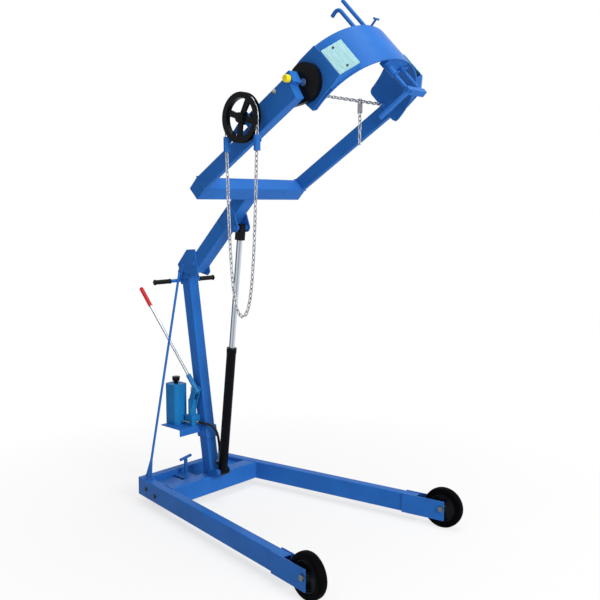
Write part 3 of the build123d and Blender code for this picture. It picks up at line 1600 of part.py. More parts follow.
# Hand pump with its fulcrum plates, piston, release valve and lever
pump_low = at(pump_along, pump_side, 0)
fulcrum_spot = (fulcrum_along, fulcrum_height)
with BuildPart() as pump_body:
    half = pump_block / 2
    block(
        plan,
        (pump_along - half, pump_side - half, shelf_top),
        (pump_along + half, pump_side + half, pump_block_top),
    )
    rod(
        pump_low + Vector(0, 0, pump_block_top), pump_low + Vector(0, 0, pump_column_top), pump_column_radius
    )
    fulcrum_inner = socket_radius + run_gap
    foot_high = pump_column_top - fulcrum_foot_drop
    for low in (-fulcrum_inner - fulcrum_plate, fulcrum_inner):
        hull_plate(
            ground,
            [(*fulcrum_spot, fulcrum_radius)],
            pump_side + low,
            pump_side + low + fulcrum_plate,
            [
                (pump_along - fulcrum_foot_rear, foot_high - fulcrum_foot_height),
                (pump_along + fulcrum_foot_front, foot_high - fulcrum_foot_height),
                (pump_along + fulcrum_foot_front, foot_high),
                (pump_along - fulcrum_foot_rear, foot_high),
            ],
        )
    disc(ground, fulcrum_spot, lever_pin_radius + fit_gap, pump_side - half, pump_side + half, Mode.SUBTRACT)
    rod(
        pump_low + Vector(0, 0, pump_bore_floor),
        pump_low + Vector(0, 0, pump_column_top + 1),
        piston_radius + fit_gap,
        Mode.SUBTRACT,
    )
    valve_spot = (pump_along, valve_height)
    disc(
        ground,
        valve_spot,
        valve_stem_radius + fit_gap,
        pump_side - half,
        pump_side - half + valve_seat,
        Mode.SUBTRACT,
    )
save(pump_body, "pump_body")

dome_lean = socket_radius + piston_radius + dome_gap - sin(lever_angle) * fulcrum_ahead
piston_dome = fulcrum_height + dome_lean / cos(lever_angle)
with BuildPart() as pump_piston:
    rod(pump_low + Vector(0, 0, piston_tail), pump_low + Vector(0, 0, piston_dome), piston_radius)
    with Locations(pump_low + Vector(0, 0, piston_dome)):
        Sphere(piston_radius)
save(pump_piston, "pump_piston")

with BuildPart() as release_valve:
    valve_face = pump_side - pump_block / 2
    disc(ground, valve_spot, valve_stem_radius, valve_face - valve_stem, valve_face + valve_tip)
    valve_middle = at(pump_along, valve_face - valve_stem, valve_height)
    valve_half = Vector(valve_bar_length / 2, 0, 0)
    rod(valve_middle - valve_half, valve_middle + valve_half, valve_bar_radius)
save(release_valve, "release_valve")

lever_axis = lever_frame.z_dir
lever_base = lever_frame.origin
grip_from = lever_length - lever_grip_length
with BuildPart() as pump_lever:
    rod(lever_base - lever_axis * socket_tail, lever_base + lever_axis * socket_reach, socket_radius)
    rod(lever_base, lever_base + lever_axis * (lever_length - lever_grip_cap), lever_rod_radius)
    pin_half = socket_radius + run_gap + fulcrum_plate + lever_pin_stand
    disc(ground, fulcrum_spot, lever_pin_radius, pump_side - pin_half, pump_side + pin_half)
save(pump_lever, "pump_lever")

with BuildPart() as lever_grip:
    rod(lever_base + lever_axis * grip_from, lever_base + lever_axis * lever_length, lever_grip_radius)
    rod(
        lever_base + lever_axis * (grip_from - 1),
        lever_base + lever_axis * (lever_length - lever_grip_cap + fit_gap),
        lever_rod_radius + fit_gap,
        Mode.SUBTRACT,
    )
save(lever_grip, "lever_grip")

# Hydraulic hose from the pump block to the cylinder's port, with its end fittings
port_middle = lift_frame.from_local_coords(((-port_reach - barrel_radius) / 2, 0, port_high))
hose_start = at(pump_along + pump_block / 2 + hose_fitting, hose_port_side, hose_port_height)
hose_end = port_middle + lift_axis * (hose_gap + hose_stem)
hose_points = [hose_start] + [at(*spot) for spot in hose_bends]
hose_points += [hose_end + lift_axis * hose_run_in, hose_end]
hose_radii = []
for before, here, after in zip(hose_points, hose_points[1:], hose_points[2:]):
    turn = radians((here - before).get_angle(after - here))
    shorter = min((here - before).length, (after - here).length)
    hose_radii.append(hose_bend_share * shorter / tan(turn / 2))
print("hose radii", [round(radius) for radius in hose_radii])
with BuildPart() as hose_tube:
    with BuildLine() as hose_path:
        FilletPolyline(*hose_points, radius=hose_radii)
    with BuildSketch(Plane(origin=hose_path.line @ 0, z_dir=hose_path.line % 0)):
        Circle(hose_radius)
    sweep(path=hose_path.line)
hose_length = hose_path.wire().length
hose_volume = pi * hose_radius**2 * hose_length
print("hose length", round(hose_length), "volume ratio", round(hose_tube.part.volume / hose_volume, 4))
with BuildPart() as hose_fittings:
    rod(
        at(pump_along + pump_block / 2, hose_port_side, hose_port_height),
        hose_start,
        hose_fitting_radius,
    )
    rod(hose_end, hose_end - lift_axis * hose_stem, hose_stem_radius)
save_group([hose_tube, hose_fittings], "hydraulic_hose")
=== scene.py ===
"""Drum handler: finishes, hose, grips, wheels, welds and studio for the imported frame."""
import json
from functools import partial
from math import atan2, cos, pi, radians, sin, tan

import bmesh
import bpy
from mathutils import Matrix, Vector


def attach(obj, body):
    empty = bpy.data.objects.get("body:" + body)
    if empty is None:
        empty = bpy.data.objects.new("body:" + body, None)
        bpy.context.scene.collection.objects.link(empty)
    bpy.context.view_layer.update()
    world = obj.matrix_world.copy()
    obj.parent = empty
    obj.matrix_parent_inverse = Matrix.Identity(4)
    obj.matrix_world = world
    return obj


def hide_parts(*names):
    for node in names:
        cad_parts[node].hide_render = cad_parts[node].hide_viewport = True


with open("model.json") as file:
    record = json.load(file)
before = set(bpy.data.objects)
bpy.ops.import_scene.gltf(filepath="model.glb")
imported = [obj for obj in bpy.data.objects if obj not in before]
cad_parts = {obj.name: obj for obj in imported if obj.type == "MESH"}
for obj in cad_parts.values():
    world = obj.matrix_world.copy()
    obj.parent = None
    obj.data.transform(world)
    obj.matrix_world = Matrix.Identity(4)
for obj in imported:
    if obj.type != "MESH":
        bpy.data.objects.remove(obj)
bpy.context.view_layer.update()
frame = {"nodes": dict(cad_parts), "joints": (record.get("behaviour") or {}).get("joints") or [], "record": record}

bl_info = {
    "name": "Drum handler",
    "version": (1, 0, 0),
    "blender": (4, 5, 0),
    "location": "View3D > Sidebar > Drum handler",
    "description": "Dresses the drum handler's frame with finishes, hose, grips, wheels and welds",
    "category": "Object",
}

# Sizes of the frame, in millimetres from the rear face of the base, and in degrees
MM = 0.001
REAR = 639.68
FRAME_TOP = 139
TUBE_WIDTH = 50.8
REAR_HALF = 308
LEG_SPLAY = 9.3
CROSS_BACK = 209.0
CROSS_FRONT = 285.2
MAST_FOOT = 249
MAST_LEAN = 8.65
MAST_HALF = 31.75
BOOM_RISE = 45.0
BOOM_HALF = 38.1
YOKE_AT = 595.2
ARM_RISE = 31.8
ARM_INNER = 327.6
ARM_OUTER = 353
LEVER_RISE = 132.2
HOLDER_DROP = 135.5

JOINTS = {joint["name"]: joint for joint in frame["joints"]}


def at(x, y, z):
    """Point given in millimetres from the rear face of the base."""
    return Vector(((x - REAR) * MM, y * MM, z * MM))


def pivot(name):
    """Where a joint of the frame turns or slides, in metres."""
    return Vector(JOINTS[name]["pos_m"])


def slope(degrees):
    """Direction that climbs by an angle in the machine's upright plane."""
    return Vector((cos(radians(degrees)), 0, sin(radians(degrees))))


def tilted(origin, degrees):
    """Frame at a point whose X climbs by an angle in the machine's upright plane."""
    ahead = slope(degrees)
    up = Vector((-ahead.z, 0, ahead.x))
    place = Matrix((ahead, Vector((0, 1, 0)), up)).transposed().to_4x4()
    place.translation = origin
    return place


def on(place, x, y, z):
    """Point given in millimetres in a tilted frame."""
    return place @ Vector((x * MM, y * MM, z * MM))


# Frames and directions of the leaning pieces, in metres
BOOM = tilted(pivot("boom_lift"), BOOM_RISE)
ARM = tilted(on(BOOM, YOKE_AT, 0, 0), ARM_RISE)
MAST = tilted(at(MAST_FOOT, 0, FRAME_TOP), MAST_LEAN)
LEVER = slope(LEVER_RISE)
LIFT = Vector(JOINTS["ram_slide"]["axis"])
PORT_SIDE = Vector((-LIFT.z, 0, LIFT.x))
HOLDER_IN = slope(-HOLDER_DROP)
COVER_LEAN = radians(43.4)
COVER_OUT = HOLDER_IN * -sin(COVER_LEAN) + Vector((0, cos(COVER_LEAN), 0))
COVER_SPOT = pivot("drum_tilt") + HOLDER_IN * (-134.9 * MM)
COVER_SPOT.y = 295.06 * MM


class SizeSettings(bpy.types.PropertyGroup):
    """Sizes a user may change."""

    hose_radius: bpy.props.FloatProperty(
        name="Hose radius",
        description="Outside radius of the hydraulic hose",
        default=0.007,
        unit="LENGTH",
    )
    rib_pitch: bpy.props.FloatProperty(
        name="Grip rib pitch",
        description="Spacing of the ribs on the grips",
        default=0.009,
        unit="LENGTH",
    )
    weld_radius: bpy.props.FloatProperty(
        name="Weld bead radius",
        description="Half width of the weld beads",
        default=0.0045,
        unit="LENGTH",
    )
    weld_step: bpy.props.FloatProperty(
        name="Weld ripple",
        description="Distance between ripples of a weld bead",
        default=0.0042,
        unit="LENGTH",
    )


class FinishSettings(bpy.types.PropertyGroup):
    """Colours a user may change."""

    frame_paint: bpy.props.StringProperty(
        name="Frame paint", description="Colour of the frame's enamel, sRGB hex", default="2969b9"
    )
    pump_paint: bpy.props.StringProperty(
        name="Pump paint", description="Colour of the pump's enamel, sRGB hex", default="1f77b6"
    )
    drive_paint: bpy.props.StringProperty(
        name="Drive paint",
        description="Colour of the black painted drive pieces, sRGB hex",
        default="0b0d11",
    )
    lever_grip: bpy.props.StringProperty(
        name="Lever grip", description="Colour of the dipped lever grip, sRGB hex", default="d0101e"
    )
    knob: bpy.props.StringProperty(
        name="Lock knob", description="Colour of the moulded knob, sRGB hex", default="e9d51f"
    )


def linear(code):
    """Linear colour of an sRGB hex value."""
    levels = [int(code[i : i + 2], 16) / 255 for i in (0, 2, 4)]
    lit = [v / 12.92 if v <= 0.04045 else ((v + 0.055) / 1.055) ** 2.4 for v in levels]
    return (*lit, 1.0)


def shaded(code, factor):
    """Linear colour of an sRGB hex value, made lighter or darker."""
    return (*(min(1.0, v * factor) for v in linear(code)[:3]), 1.0)


def fill(made, inputs):
    """Set a node's inputs to values, or link them to other nodes' outputs.

    A key is an input's name or its place. A Map Range takes 1 to 2 and gives 3 to 4, and a
    colour Mix has its factor at 0 and its two colours at 6 and 7.
    """
    for key, value in inputs.items():
        if isinstance(value, bpy.types.NodeSocket):
            made.id_data.links.new(value, made.inputs[key])
        else:
            made.inputs[key].default_value = value


def node(tree, kind, inputs=None, out=0, stops=(), **settings):
    """Add a node with its settings, inputs and ramp stops, and give one of its outputs."""
    made = tree.nodes.new(kind)
    for key, value in settings.items():
        setattr(made, key, value)
    fill(made, inputs or {})
    if stops:
        while len(made.color_ramp.elements) < len(stops):
            made.color_ramp.elements.new(0.5)
        for element, (place, colour) in zip(made.color_ramp.elements, stops):
            element.position = place
            element.color = colour
    return made.outputs[out]


def start_material(name):
    """New node material: itself, the way to add nodes to it, its shader and object coordinates."""
    made = bpy.data.materials.new(name)
    made.use_nodes = True
    add = partial(node, made.node_tree)
    shader = made.node_tree.nodes["Principled BSDF"]
    coords = add("ShaderNodeTexCoord", out="Object")
    return made, add, shader, coords


def enamel(name, code, edge_wear_and_highlight="86a3cf", gloss=0.32, sheen_level=0.05, foot=None):
    """Sprayed enamel on steel: a faintly clouded gloss skin, orange peel and thin edges lightened partly by wear
    and partly by a painted highlight.

    A foot, given by its height in millimetres, is black rubber instead.
    """
    made, add, shader, coords = start_material(name)
    cloud = add("ShaderNodeTexNoise", {"Vector": coords, "Scale": 1 / (160 * MM), "Detail": 3.0})
    tones = [(0.3, shaded(code, 0.92)), (0.7, shaded(code, 1.07))]
    tone = add("ShaderNodeValToRGB", {0: cloud}, stops=tones)
    # Handling leaves long soft rubs rather than spots, drawn out along the tubes.
    drawn = add("ShaderNodeMapping", {"Vector": coords, "Scale": (0.35, 1.0, 1.0)})
    rub = add("ShaderNodeTexNoise", {"Vector": drawn, "Scale": 1 / (45 * MM), "Detail": 4.0})
    rubbed = add("ShaderNodeMapRange", {0: rub, 1: 0.56, 2: 0.78, 3: 0.0, 4: 0.3})
    dulled = add("ShaderNodeMix", {0: rubbed, 6: tone, 7: shaded(code, 0.82)}, 2, data_type="RGBA")
    # Edges turn lighter: partly wear, partly a painted highlight.
    soft = add("ShaderNodeBevel", {"Radius": 2.2 * MM}, samples=4)
    face = add("ShaderNodeNewGeometry", out="Normal")
    turn = add("ShaderNodeVectorMath", {0: soft, 1: face}, "Value", operation="DOT_PRODUCT")
    edge = add("ShaderNodeMapRange", {0: turn, 1: 0.995, 2: 0.9, 3: 0.0, 4: 0.5})
    patch = add("ShaderNodeTexNoise", {"Vector": coords, "Scale": 1 / (14 * MM), "Detail": 3.0})
    broken = add("ShaderNodeMapRange", {0: patch, 1: 0.4, 2: 0.65, 3: 0.15, 4: 1.0})
    wear_and_highlight_edge = add("ShaderNodeMath", {0: edge, 1: broken}, operation="MULTIPLY", use_clamp=True)
    colour = add("ShaderNodeMix", {0: wear_and_highlight_edge, 6: dulled, 7: linear(edge_wear_and_highlight)}, 2, data_type="RGBA")
    if foot:
        height = add("ShaderNodeSeparateXYZ", {0: coords}, "Z")
        below = add(
            "ShaderNodeMapRange", {0: height, 1: foot * MM, 2: (foot + 0.5) * MM, 3: 1.0, 4: 0.0}
        )
        rubber = linear("0c0c0e")
        colour = add("ShaderNodeMix", {0: below, 6: colour, 7: rubber}, 2, data_type="RGBA")
    rough = add("ShaderNodeMapRange", {0: rub, 1: 0.3, 2: 0.7, 3: gloss - 0.05, 4: gloss + 0.08})
    # Orange peel is about 1 mm across on the real enamel; drawn at 2.2 mm so that it shows.
    peel = add("ShaderNodeTexNoise", {"Vector": coords, "Scale": 1 / (2.2 * MM), "Detail": 1.0})
    relief = add(
        "ShaderNodeBump", {"Height": peel, "Distance": 0.05 * MM, "Strength": 0.3, "Normal": soft}
    )
    fill(shader, {"Base Color": colour, "Roughness": rough, "Normal": relief})
    fill(shader, {"IOR": 1.5, "Specular IOR Level": sheen_level})
    return made


def machined(name, code, rough=0.32, grain_mm=0.8):
    """Turned or drawn steel: bright metal with fine tool marks and slight staining."""
    made, add, shader, coords = start_material(name)
    stain = add("ShaderNodeTexNoise", {"Vector": coords, "Scale": 1 / (26 * MM), "Detail": 4.0})
    tones = [(0.3, shaded(code, 0.72)), (0.72, shaded(code, 1.05))]
    tone = add("ShaderNodeValToRGB", {0: stain}, stops=tones)
    fine = 1 / (grain_mm * MM)
    grain = add("ShaderNodeTexNoise", {"Vector": coords, "Scale": fine, "Detail": 3.0})
    dull = add("ShaderNodeMapRange", {0: stain, 1: 0.3, 2: 0.7, 3: rough - 0.06, 4: rough + 0.1})
    soft = add("ShaderNodeBevel", {"Radius": 0.8 * MM}, samples=4)
    relief = add(
        "ShaderNodeBump", {"Height": grain, "Distance": 0.02 * MM, "Strength": 0.25, "Normal": soft}
    )
    fill(shader, {"Base Color": tone, "Roughness": dull, "Normal": relief, "Metallic": 1.0})
    return made


def chromed(name):
    """Ground and hard-chromed rod: a near mirror, faintly ringed, with painted reflection bands."""
    made, add, shader, coords = start_material(name)
    film = add("ShaderNodeTexNoise", {"Vector": coords, "Scale": 1 / (90 * MM), "Detail": 2.0})
    # The white studio gives the rod nothing dark to mirror, so bands are painted round it by the
    # way it faces, from left to right in the photo's view. They stand in for reflections.
    face = add("ShaderNodeNewGeometry", out="Normal")
    photo_right = (0.743, 0.669, 0)
    ahead = add("ShaderNodeVectorMath", {0: face, 1: photo_right}, "Value", operation="DOT_PRODUCT")
    round_rod = add("ShaderNodeMapRange", {0: ahead, 1: -1.0, 2: 1.0, 3: 0.0, 4: 1.0})
    # Painted reflection: the bands of tone run from dark to bright round the rod.
    bands = [(0.0, "1d222b"), (0.2, "353d49"), (0.3, "c9d1da")]
    bands += [(0.5, "b3bcc7"), (0.62, "7d8793"), (0.8, "d3dae1")]
    painted_reflection_stops = [(place, linear(code)) for place, code in bands]
    painted_reflection = add("ShaderNodeValToRGB", {0: round_rod}, stops=painted_reflection_stops)
    veil = add("ShaderNodeMapRange", {0: film, 1: 0.3, 2: 0.7, 3: 0.05, 4: 0.25})
    tone = add("ShaderNodeMix", {0: veil, 6: painted_reflection, 7: linear("98a3af")}, 2, data_type="RGBA")
    dull = add("ShaderNodeMapRange", {0: film, 1: 0.3, 2: 0.7, 3: 0.12, 4: 0.2})
    # Grinding rings are a fraction of a millimetre apart; drawn 38 mm apart so that they show.
    # The wave runs through 20 radians a metre at a scale of 1, so this is 6 mm a radian.
    rings = add(
        "ShaderNodeTexWave",
        {"Vector": coords, "Scale": 1 / (6 * MM) / 20, "Distortion": 0.6},
        "Fac",
        bands_direction="Z",
    )
    relief = add("ShaderNodeBump", {"Height": rings, "Distance": 0.01 * MM, "Strength": 0.1})
    fill(shader, {"Base Color": tone, "Roughness": dull, "Normal": relief, "Metallic": 1.0})
    return made


def part_painted(name, code, origin, axis, reach, sheen_level=0.3):
    """Plated steel, sprayed as far as a line across it: gloss paint, then bright metal beyond with painted
    reflection bands.
    """
    made, add, shader, coords = start_material(name)
    away = add("ShaderNodeVectorMath", {0: coords, 1: tuple(origin)}, operation="SUBTRACT")
    along = add("ShaderNodeVectorMath", {0: away, 1: tuple(axis)}, "Value", operation="DOT_PRODUCT")
    blur = 0.2 * MM
    painted = add(
        "ShaderNodeMapRange", {0: along, 1: reach - blur, 2: reach + blur, 3: 1.0, 4: 0.0}
    )
    cloud = add("ShaderNodeTexNoise", {"Vector": coords, "Scale": 1 / (70 * MM), "Detail": 3.0})
    # Painted reflection on the plated metal.
    # Bands of tone are painted round the bar in the same way, to the photo's upper right.
    face = add("ShaderNodeNewGeometry", out="Normal")
    upper_right = (0.6, 0.54, 0.59)
    ahead = add("ShaderNodeVectorMath", {0: face, 1: upper_right}, "Value", operation="DOT_PRODUCT")
    round_bar = add("ShaderNodeMapRange", {0: ahead, 1: -1.0, 2: 1.0, 3: 0.0, 4: 1.0})
    bands = [(0.0, "23272e"), (0.3, "4a515a"), (0.45, "b9c0c8"), (0.75, "cdd4da"), (1.0, "aeb6bf")]
    plate_reflection_stops = [(place, linear(tone)) for place, tone in bands]
    plate_painted_reflection = add("ShaderNodeValToRGB", {0: round_bar}, stops=plate_reflection_stops)
    paints = [(0.3, shaded(code, 0.9)), (0.7, shaded(code, 1.06))]
    paint = add("ShaderNodeValToRGB", {0: cloud}, stops=paints)
    colour = add("ShaderNodeMix", {0: painted, 6: plate_painted_reflection, 7: paint}, 2, data_type="RGBA")
    metal = add("ShaderNodeMapRange", {0: painted, 3: 1.0, 4: 0.0})
    dull = add("ShaderNodeMapRange", {0: cloud, 1: 0.3, 2: 0.7, 3: 0.22, 4: 0.32})
    fill(shader, {"Base Color": colour, "Metallic": metal, "Roughness": dull})
    fill(shader, {"Specular IOR Level": sheen_level})
    return made


def moulded_rubber(name, code, rough=0.62, sheen_level=0.06, dust=0.12):
    """Moulded rubber: matt and finely pitted, with a little floor dust."""
    made, add, shader, coords = start_material(name)
    cloud = add("ShaderNodeTexNoise", {"Vector": coords, "Scale": 1 / (40 * MM), "Detail": 5.0})
    dusty = tuple(a + (b - a) * dust for a, b in zip(linear(code), linear("4c4b4a")))
    tones = [(0.4, linear(code)), (0.8, dusty)]
    tone = add("ShaderNodeValToRGB", {0: cloud}, stops=tones)
    dull = add("ShaderNodeMapRange", {0: cloud, 1: 0.3, 2: 0.7, 3: rough - 0.1, 4: rough + 0.12})
    pits = add("ShaderNodeTexNoise", {"Vector": coords, "Scale": 1 / (1.4 * MM), "Detail": 2.0})
    relief = add("ShaderNodeBump", {"Height": pits, "Distance": 0.12 * MM, "Strength": 0.35})
    fill(shader, {"Base Color": tone, "Roughness": dull, "Normal": relief})
    fill(shader, {"Specular IOR Level": sheen_level})
    return made


def vinyl(name, code):
    """Dipped vinyl: a smooth skin with soft gloss and slight grubbiness from hands."""
    made, add, shader, coords = start_material(name)
    grime = add("ShaderNodeTexNoise", {"Vector": coords, "Scale": 1 / (24 * MM), "Detail": 4.0})
    tones = [(0.35, shaded(code, 0.86)), (0.7, shaded(code, 1.04))]
    tone = add("ShaderNodeValToRGB", {0: grime}, stops=tones)
    dull = add("ShaderNodeMapRange", {0: grime, 1: 0.3, 2: 0.7, 3: 0.3, 4: 0.45})
    skin = add("ShaderNodeTexNoise", {"Vector": coords, "Scale": 1 / (3 * MM), "Detail": 2.0})
    relief = add("ShaderNodeBump", {"Height": skin, "Distance": 0.1 * MM, "Strength": 0.25})
    fill(shader, {"Base Color": tone, "Roughness": dull, "Normal": relief})
    fill(shader, {"Specular IOR Level": 0.35})
    return made


def hose_rubber(name):
    """Braided hose with a rubber cover: the braid prints through as a fine cross."""
    made, add, shader, coords = start_material(name)
    cloud = add("ShaderNodeTexNoise", {"Vector": coords, "Scale": 1 / (20 * MM), "Detail": 4.0})
    tones = [(0.3, linear("08090b")), (0.75, linear("17181b"))]
    tone = add("ShaderNodeValToRGB", {0: cloud}, stops=tones)
    uv = add("ShaderNodeTexCoord", out="UV")
    # The braid's wires are about 1 mm apart; drawn at 1.6 mm along and twelve round to show.
    spread = add("ShaderNodeMapping", {"Vector": uv, "Scale": (150.0, 12.0, 1.0)})
    braid = add("ShaderNodeTexChecker", {"Vector": spread, "Scale": 1.0}, "Fac")
    relief = add("ShaderNodeBump", {"Height": braid, "Distance": 0.25 * MM, "Strength": 0.4})
    fill(shader, {"Base Color": tone, "Roughness": 0.5, "Normal": relief})
    fill(shader, {"Specular IOR Level": 0.25})
    return made


def plated_cover(name, origin, outward):
    """Zinc-plated cover, passivated pale blue-green and rolled lengthwise; dark screw heads."""
    made, add, shader, coords = start_material(name)
    drawn = add("ShaderNodeMapping", {"Vector": coords, "Scale": (1.0, 9.0, 1.0)})
    streak = add("ShaderNodeTexNoise", {"Vector": drawn, "Scale": 1 / (40 * MM), "Detail": 5.0})
    tones = [(0.3, linear("83adb3")), (0.7, linear("9bc5c9"))]
    tone = add("ShaderNodeValToRGB", {0: streak}, stops=tones)
    # Both covers are alike, so the far one is measured on the near one's side of the machine.
    near = add("ShaderNodeVectorMath", {0: coords}, operation="ABSOLUTE")
    side = add("ShaderNodeSeparateXYZ", {0: near}, "Y")
    plain = add("ShaderNodeSeparateXYZ", {0: coords}, "X")
    tall = add("ShaderNodeSeparateXYZ", {0: coords}, "Z")
    folded = add("ShaderNodeCombineXYZ", {0: plain, 1: side, 2: tall})
    away = add("ShaderNodeVectorMath", {0: folded, 1: tuple(origin)}, operation="SUBTRACT")
    proud = add(
        "ShaderNodeVectorMath", {0: away, 1: tuple(outward)}, "Value", operation="DOT_PRODUCT"
    )
    screw = add("ShaderNodeMapRange", {0: proud, 1: 0.3 * MM, 2: 0.6 * MM, 3: 0.0, 4: 1.0})
    colour = add("ShaderNodeMix", {0: screw, 6: tone, 7: linear("2a2f36")}, 2, data_type="RGBA")
    dull = add("ShaderNodeMapRange", {0: streak, 1: 0.3, 2: 0.7, 3: 0.34, 4: 0.46})
    soft = add("ShaderNodeBevel", {"Radius": 1.0 * MM}, samples=4)
    relief = add(
        "ShaderNodeBump", {"Height": streak, "Distance": 0.04 * MM, "Strength": 0.2, "Normal": soft}
    )
    fill(shader, {"Base Color": colour, "Roughness": dull, "Normal": relief})
    fill(shader, {"Metallic": 0.3, "Specular IOR Level": 0.3})
    return made


def weld_metal(name, code):
    """Painted weld bead: the frame's colour, a little duller and uneven."""
    made, add, shader, coords = start_material(name)
    cloud = add("ShaderNodeTexNoise", {"Vector": coords, "Scale": 1 / (6 * MM), "Detail": 3.0})
    tones = [(0.3, shaded(code, 0.75)), (0.7, shaded(code, 1.0))]
    tone = add("ShaderNodeValToRGB", {0: cloud}, stops=tones)
    dull = add("ShaderNodeMapRange", {0: cloud, 1: 0.3, 2: 0.7, 3: 0.35, 4: 0.5})
    scale = add("ShaderNodeTexNoise", {"Vector": coords, "Scale": 1 / (1.6 * MM), "Detail": 2.0})
    relief = add("ShaderNodeBump", {"Height": scale, "Distance": 0.2 * MM, "Strength": 0.4})
    fill(shader, {"Base Color": tone, "Roughness": dull, "Normal": relief})
    fill(shader, {"Specular IOR Level": 0.25})
    return made


def finish(name):
    """A material of the scene by name."""
    return bpy.data.materials[name]


def piece(name, mesh, body, material):
    """Turn a bmesh into an object that rides on a body."""
    bmesh.ops.remove_doubles(mesh, verts=mesh.verts, dist=1e-6)
    bmesh.ops.recalc_face_normals(mesh, faces=mesh.faces)
    data = bpy.data.meshes.new(name)
    mesh.to_mesh(data)
    mesh.free()
    made = bpy.data.objects.new(name, data)
    bpy.context.scene.collection.objects.link(made)
    data.materials.append(material)
    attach(made, body)
    return made


def lathe(mesh, profile, place, steps=48):
    """Spin a profile of radius and height, in millimetres, round a place's Z."""
    points = [mesh.verts.new((radius * MM, 0, height * MM)) for radius, height in profile]
    edges = [mesh.edges.new(pair) for pair in zip(points, points[1:])]
    ring = {"axis": (0, 0, 1), "cent": (0, 0, 0), "angle": 2 * pi}
    bmesh.ops.spin(mesh, geom=points + edges, steps=steps, use_merge=True, **ring)
    grown = set(points)
    for face in mesh.faces:
        if not face.tag:
            face.tag = True
            face.smooth = True
            grown.update(face.verts)
    bmesh.ops.transform(mesh, matrix=place, verts=[v for v in grown if v.is_valid])


def shade(mesh, smooth):
    """Shade every face of a bmesh smooth or flat."""
    for face in mesh.faces:
        face.smooth = smooth


def axle_place(origin, axis):
    """Place whose Z runs along an axis."""
    place = Vector(axis).to_track_quat("Z", "Y").to_matrix().to_4x4()
    place.translation = origin
    return place


class DRUM_OT_finishes(bpy.types.Operator):
    """Give every carried-over piece its finish"""

    bl_idname = "drum.finishes"
    bl_label = "Finishes"

    def execute(self, context):
        colours = context.scene.drum_finish
        made = {
            "blue_paint": enamel("frame_enamel", colours.frame_paint),
            "pump_blue": enamel("pump_enamel", colours.pump_paint, edge_wear_and_highlight="8fb9dc", gloss=0.36),
            "black_paint": enamel(
                "drive_enamel", colours.drive_paint, edge_wear_and_highlight="24272c", gloss=0.28, sheen_level=0.08
            ),
            "steel": machined("turned_steel", "9a9ca0"),
            "chain_zinc": machined("zinc_chain", "aeb2b8", rough=0.3, grain_mm=0.6),
            "bare_plate": plated_cover("zinc_cover", COVER_SPOT, COVER_OUT),
            "chrome_rod": chromed("hard_chrome"),
            "black_tyre": moulded_rubber("wheel_rubber", "030305", sheen_level=0.02, dust=0.02),
            "black_rubber": moulded_rubber(
                "grip_rubber", "07080a", rough=0.4, sheen_level=0.12, dust=0.03
            ),
            "red_grip": vinyl("dipped_vinyl", colours.lever_grip),
            "yellow_knob": vinyl("moulded_knob", colours.knob),
        }
        weld_metal("weld_enamel", colours.frame_paint)
        hose_rubber("hose_cover")
        lever = pivot("lever_pump")
        foot = pivot("cylinder_swing")
        special = {
            "floor_lock_pedal": enamel("pedal_enamel", colours.frame_paint, foot=20.0),
            "lift_barrel": part_painted(
                "barrel_enamel", colours.drive_paint, foot, PORT_SIDE, 27.5 * MM, sheen_level=0.05
            ),
            "frame_bolts": machined("oxide_bolt", "33363b", rough=0.38),
            "front_axles": machined("dull_axle", "74777c", rough=0.4),
            "boom_pivot_pin": made["blue_paint"],
            "pump_lever": part_painted("lever_steel", colours.pump_paint, lever, LEVER, 96 * MM),
        }
        for entry in frame["record"]["subparts"]:
            name = entry["node"]
            shape = frame["nodes"][name]
            material = special.get(name, made[entry["material_slot"]])
            if not shape.material_slots:
                shape.data.materials.append(material)
            for slot in shape.material_slots:
                slot.material = material
        return {"FINISHED"}


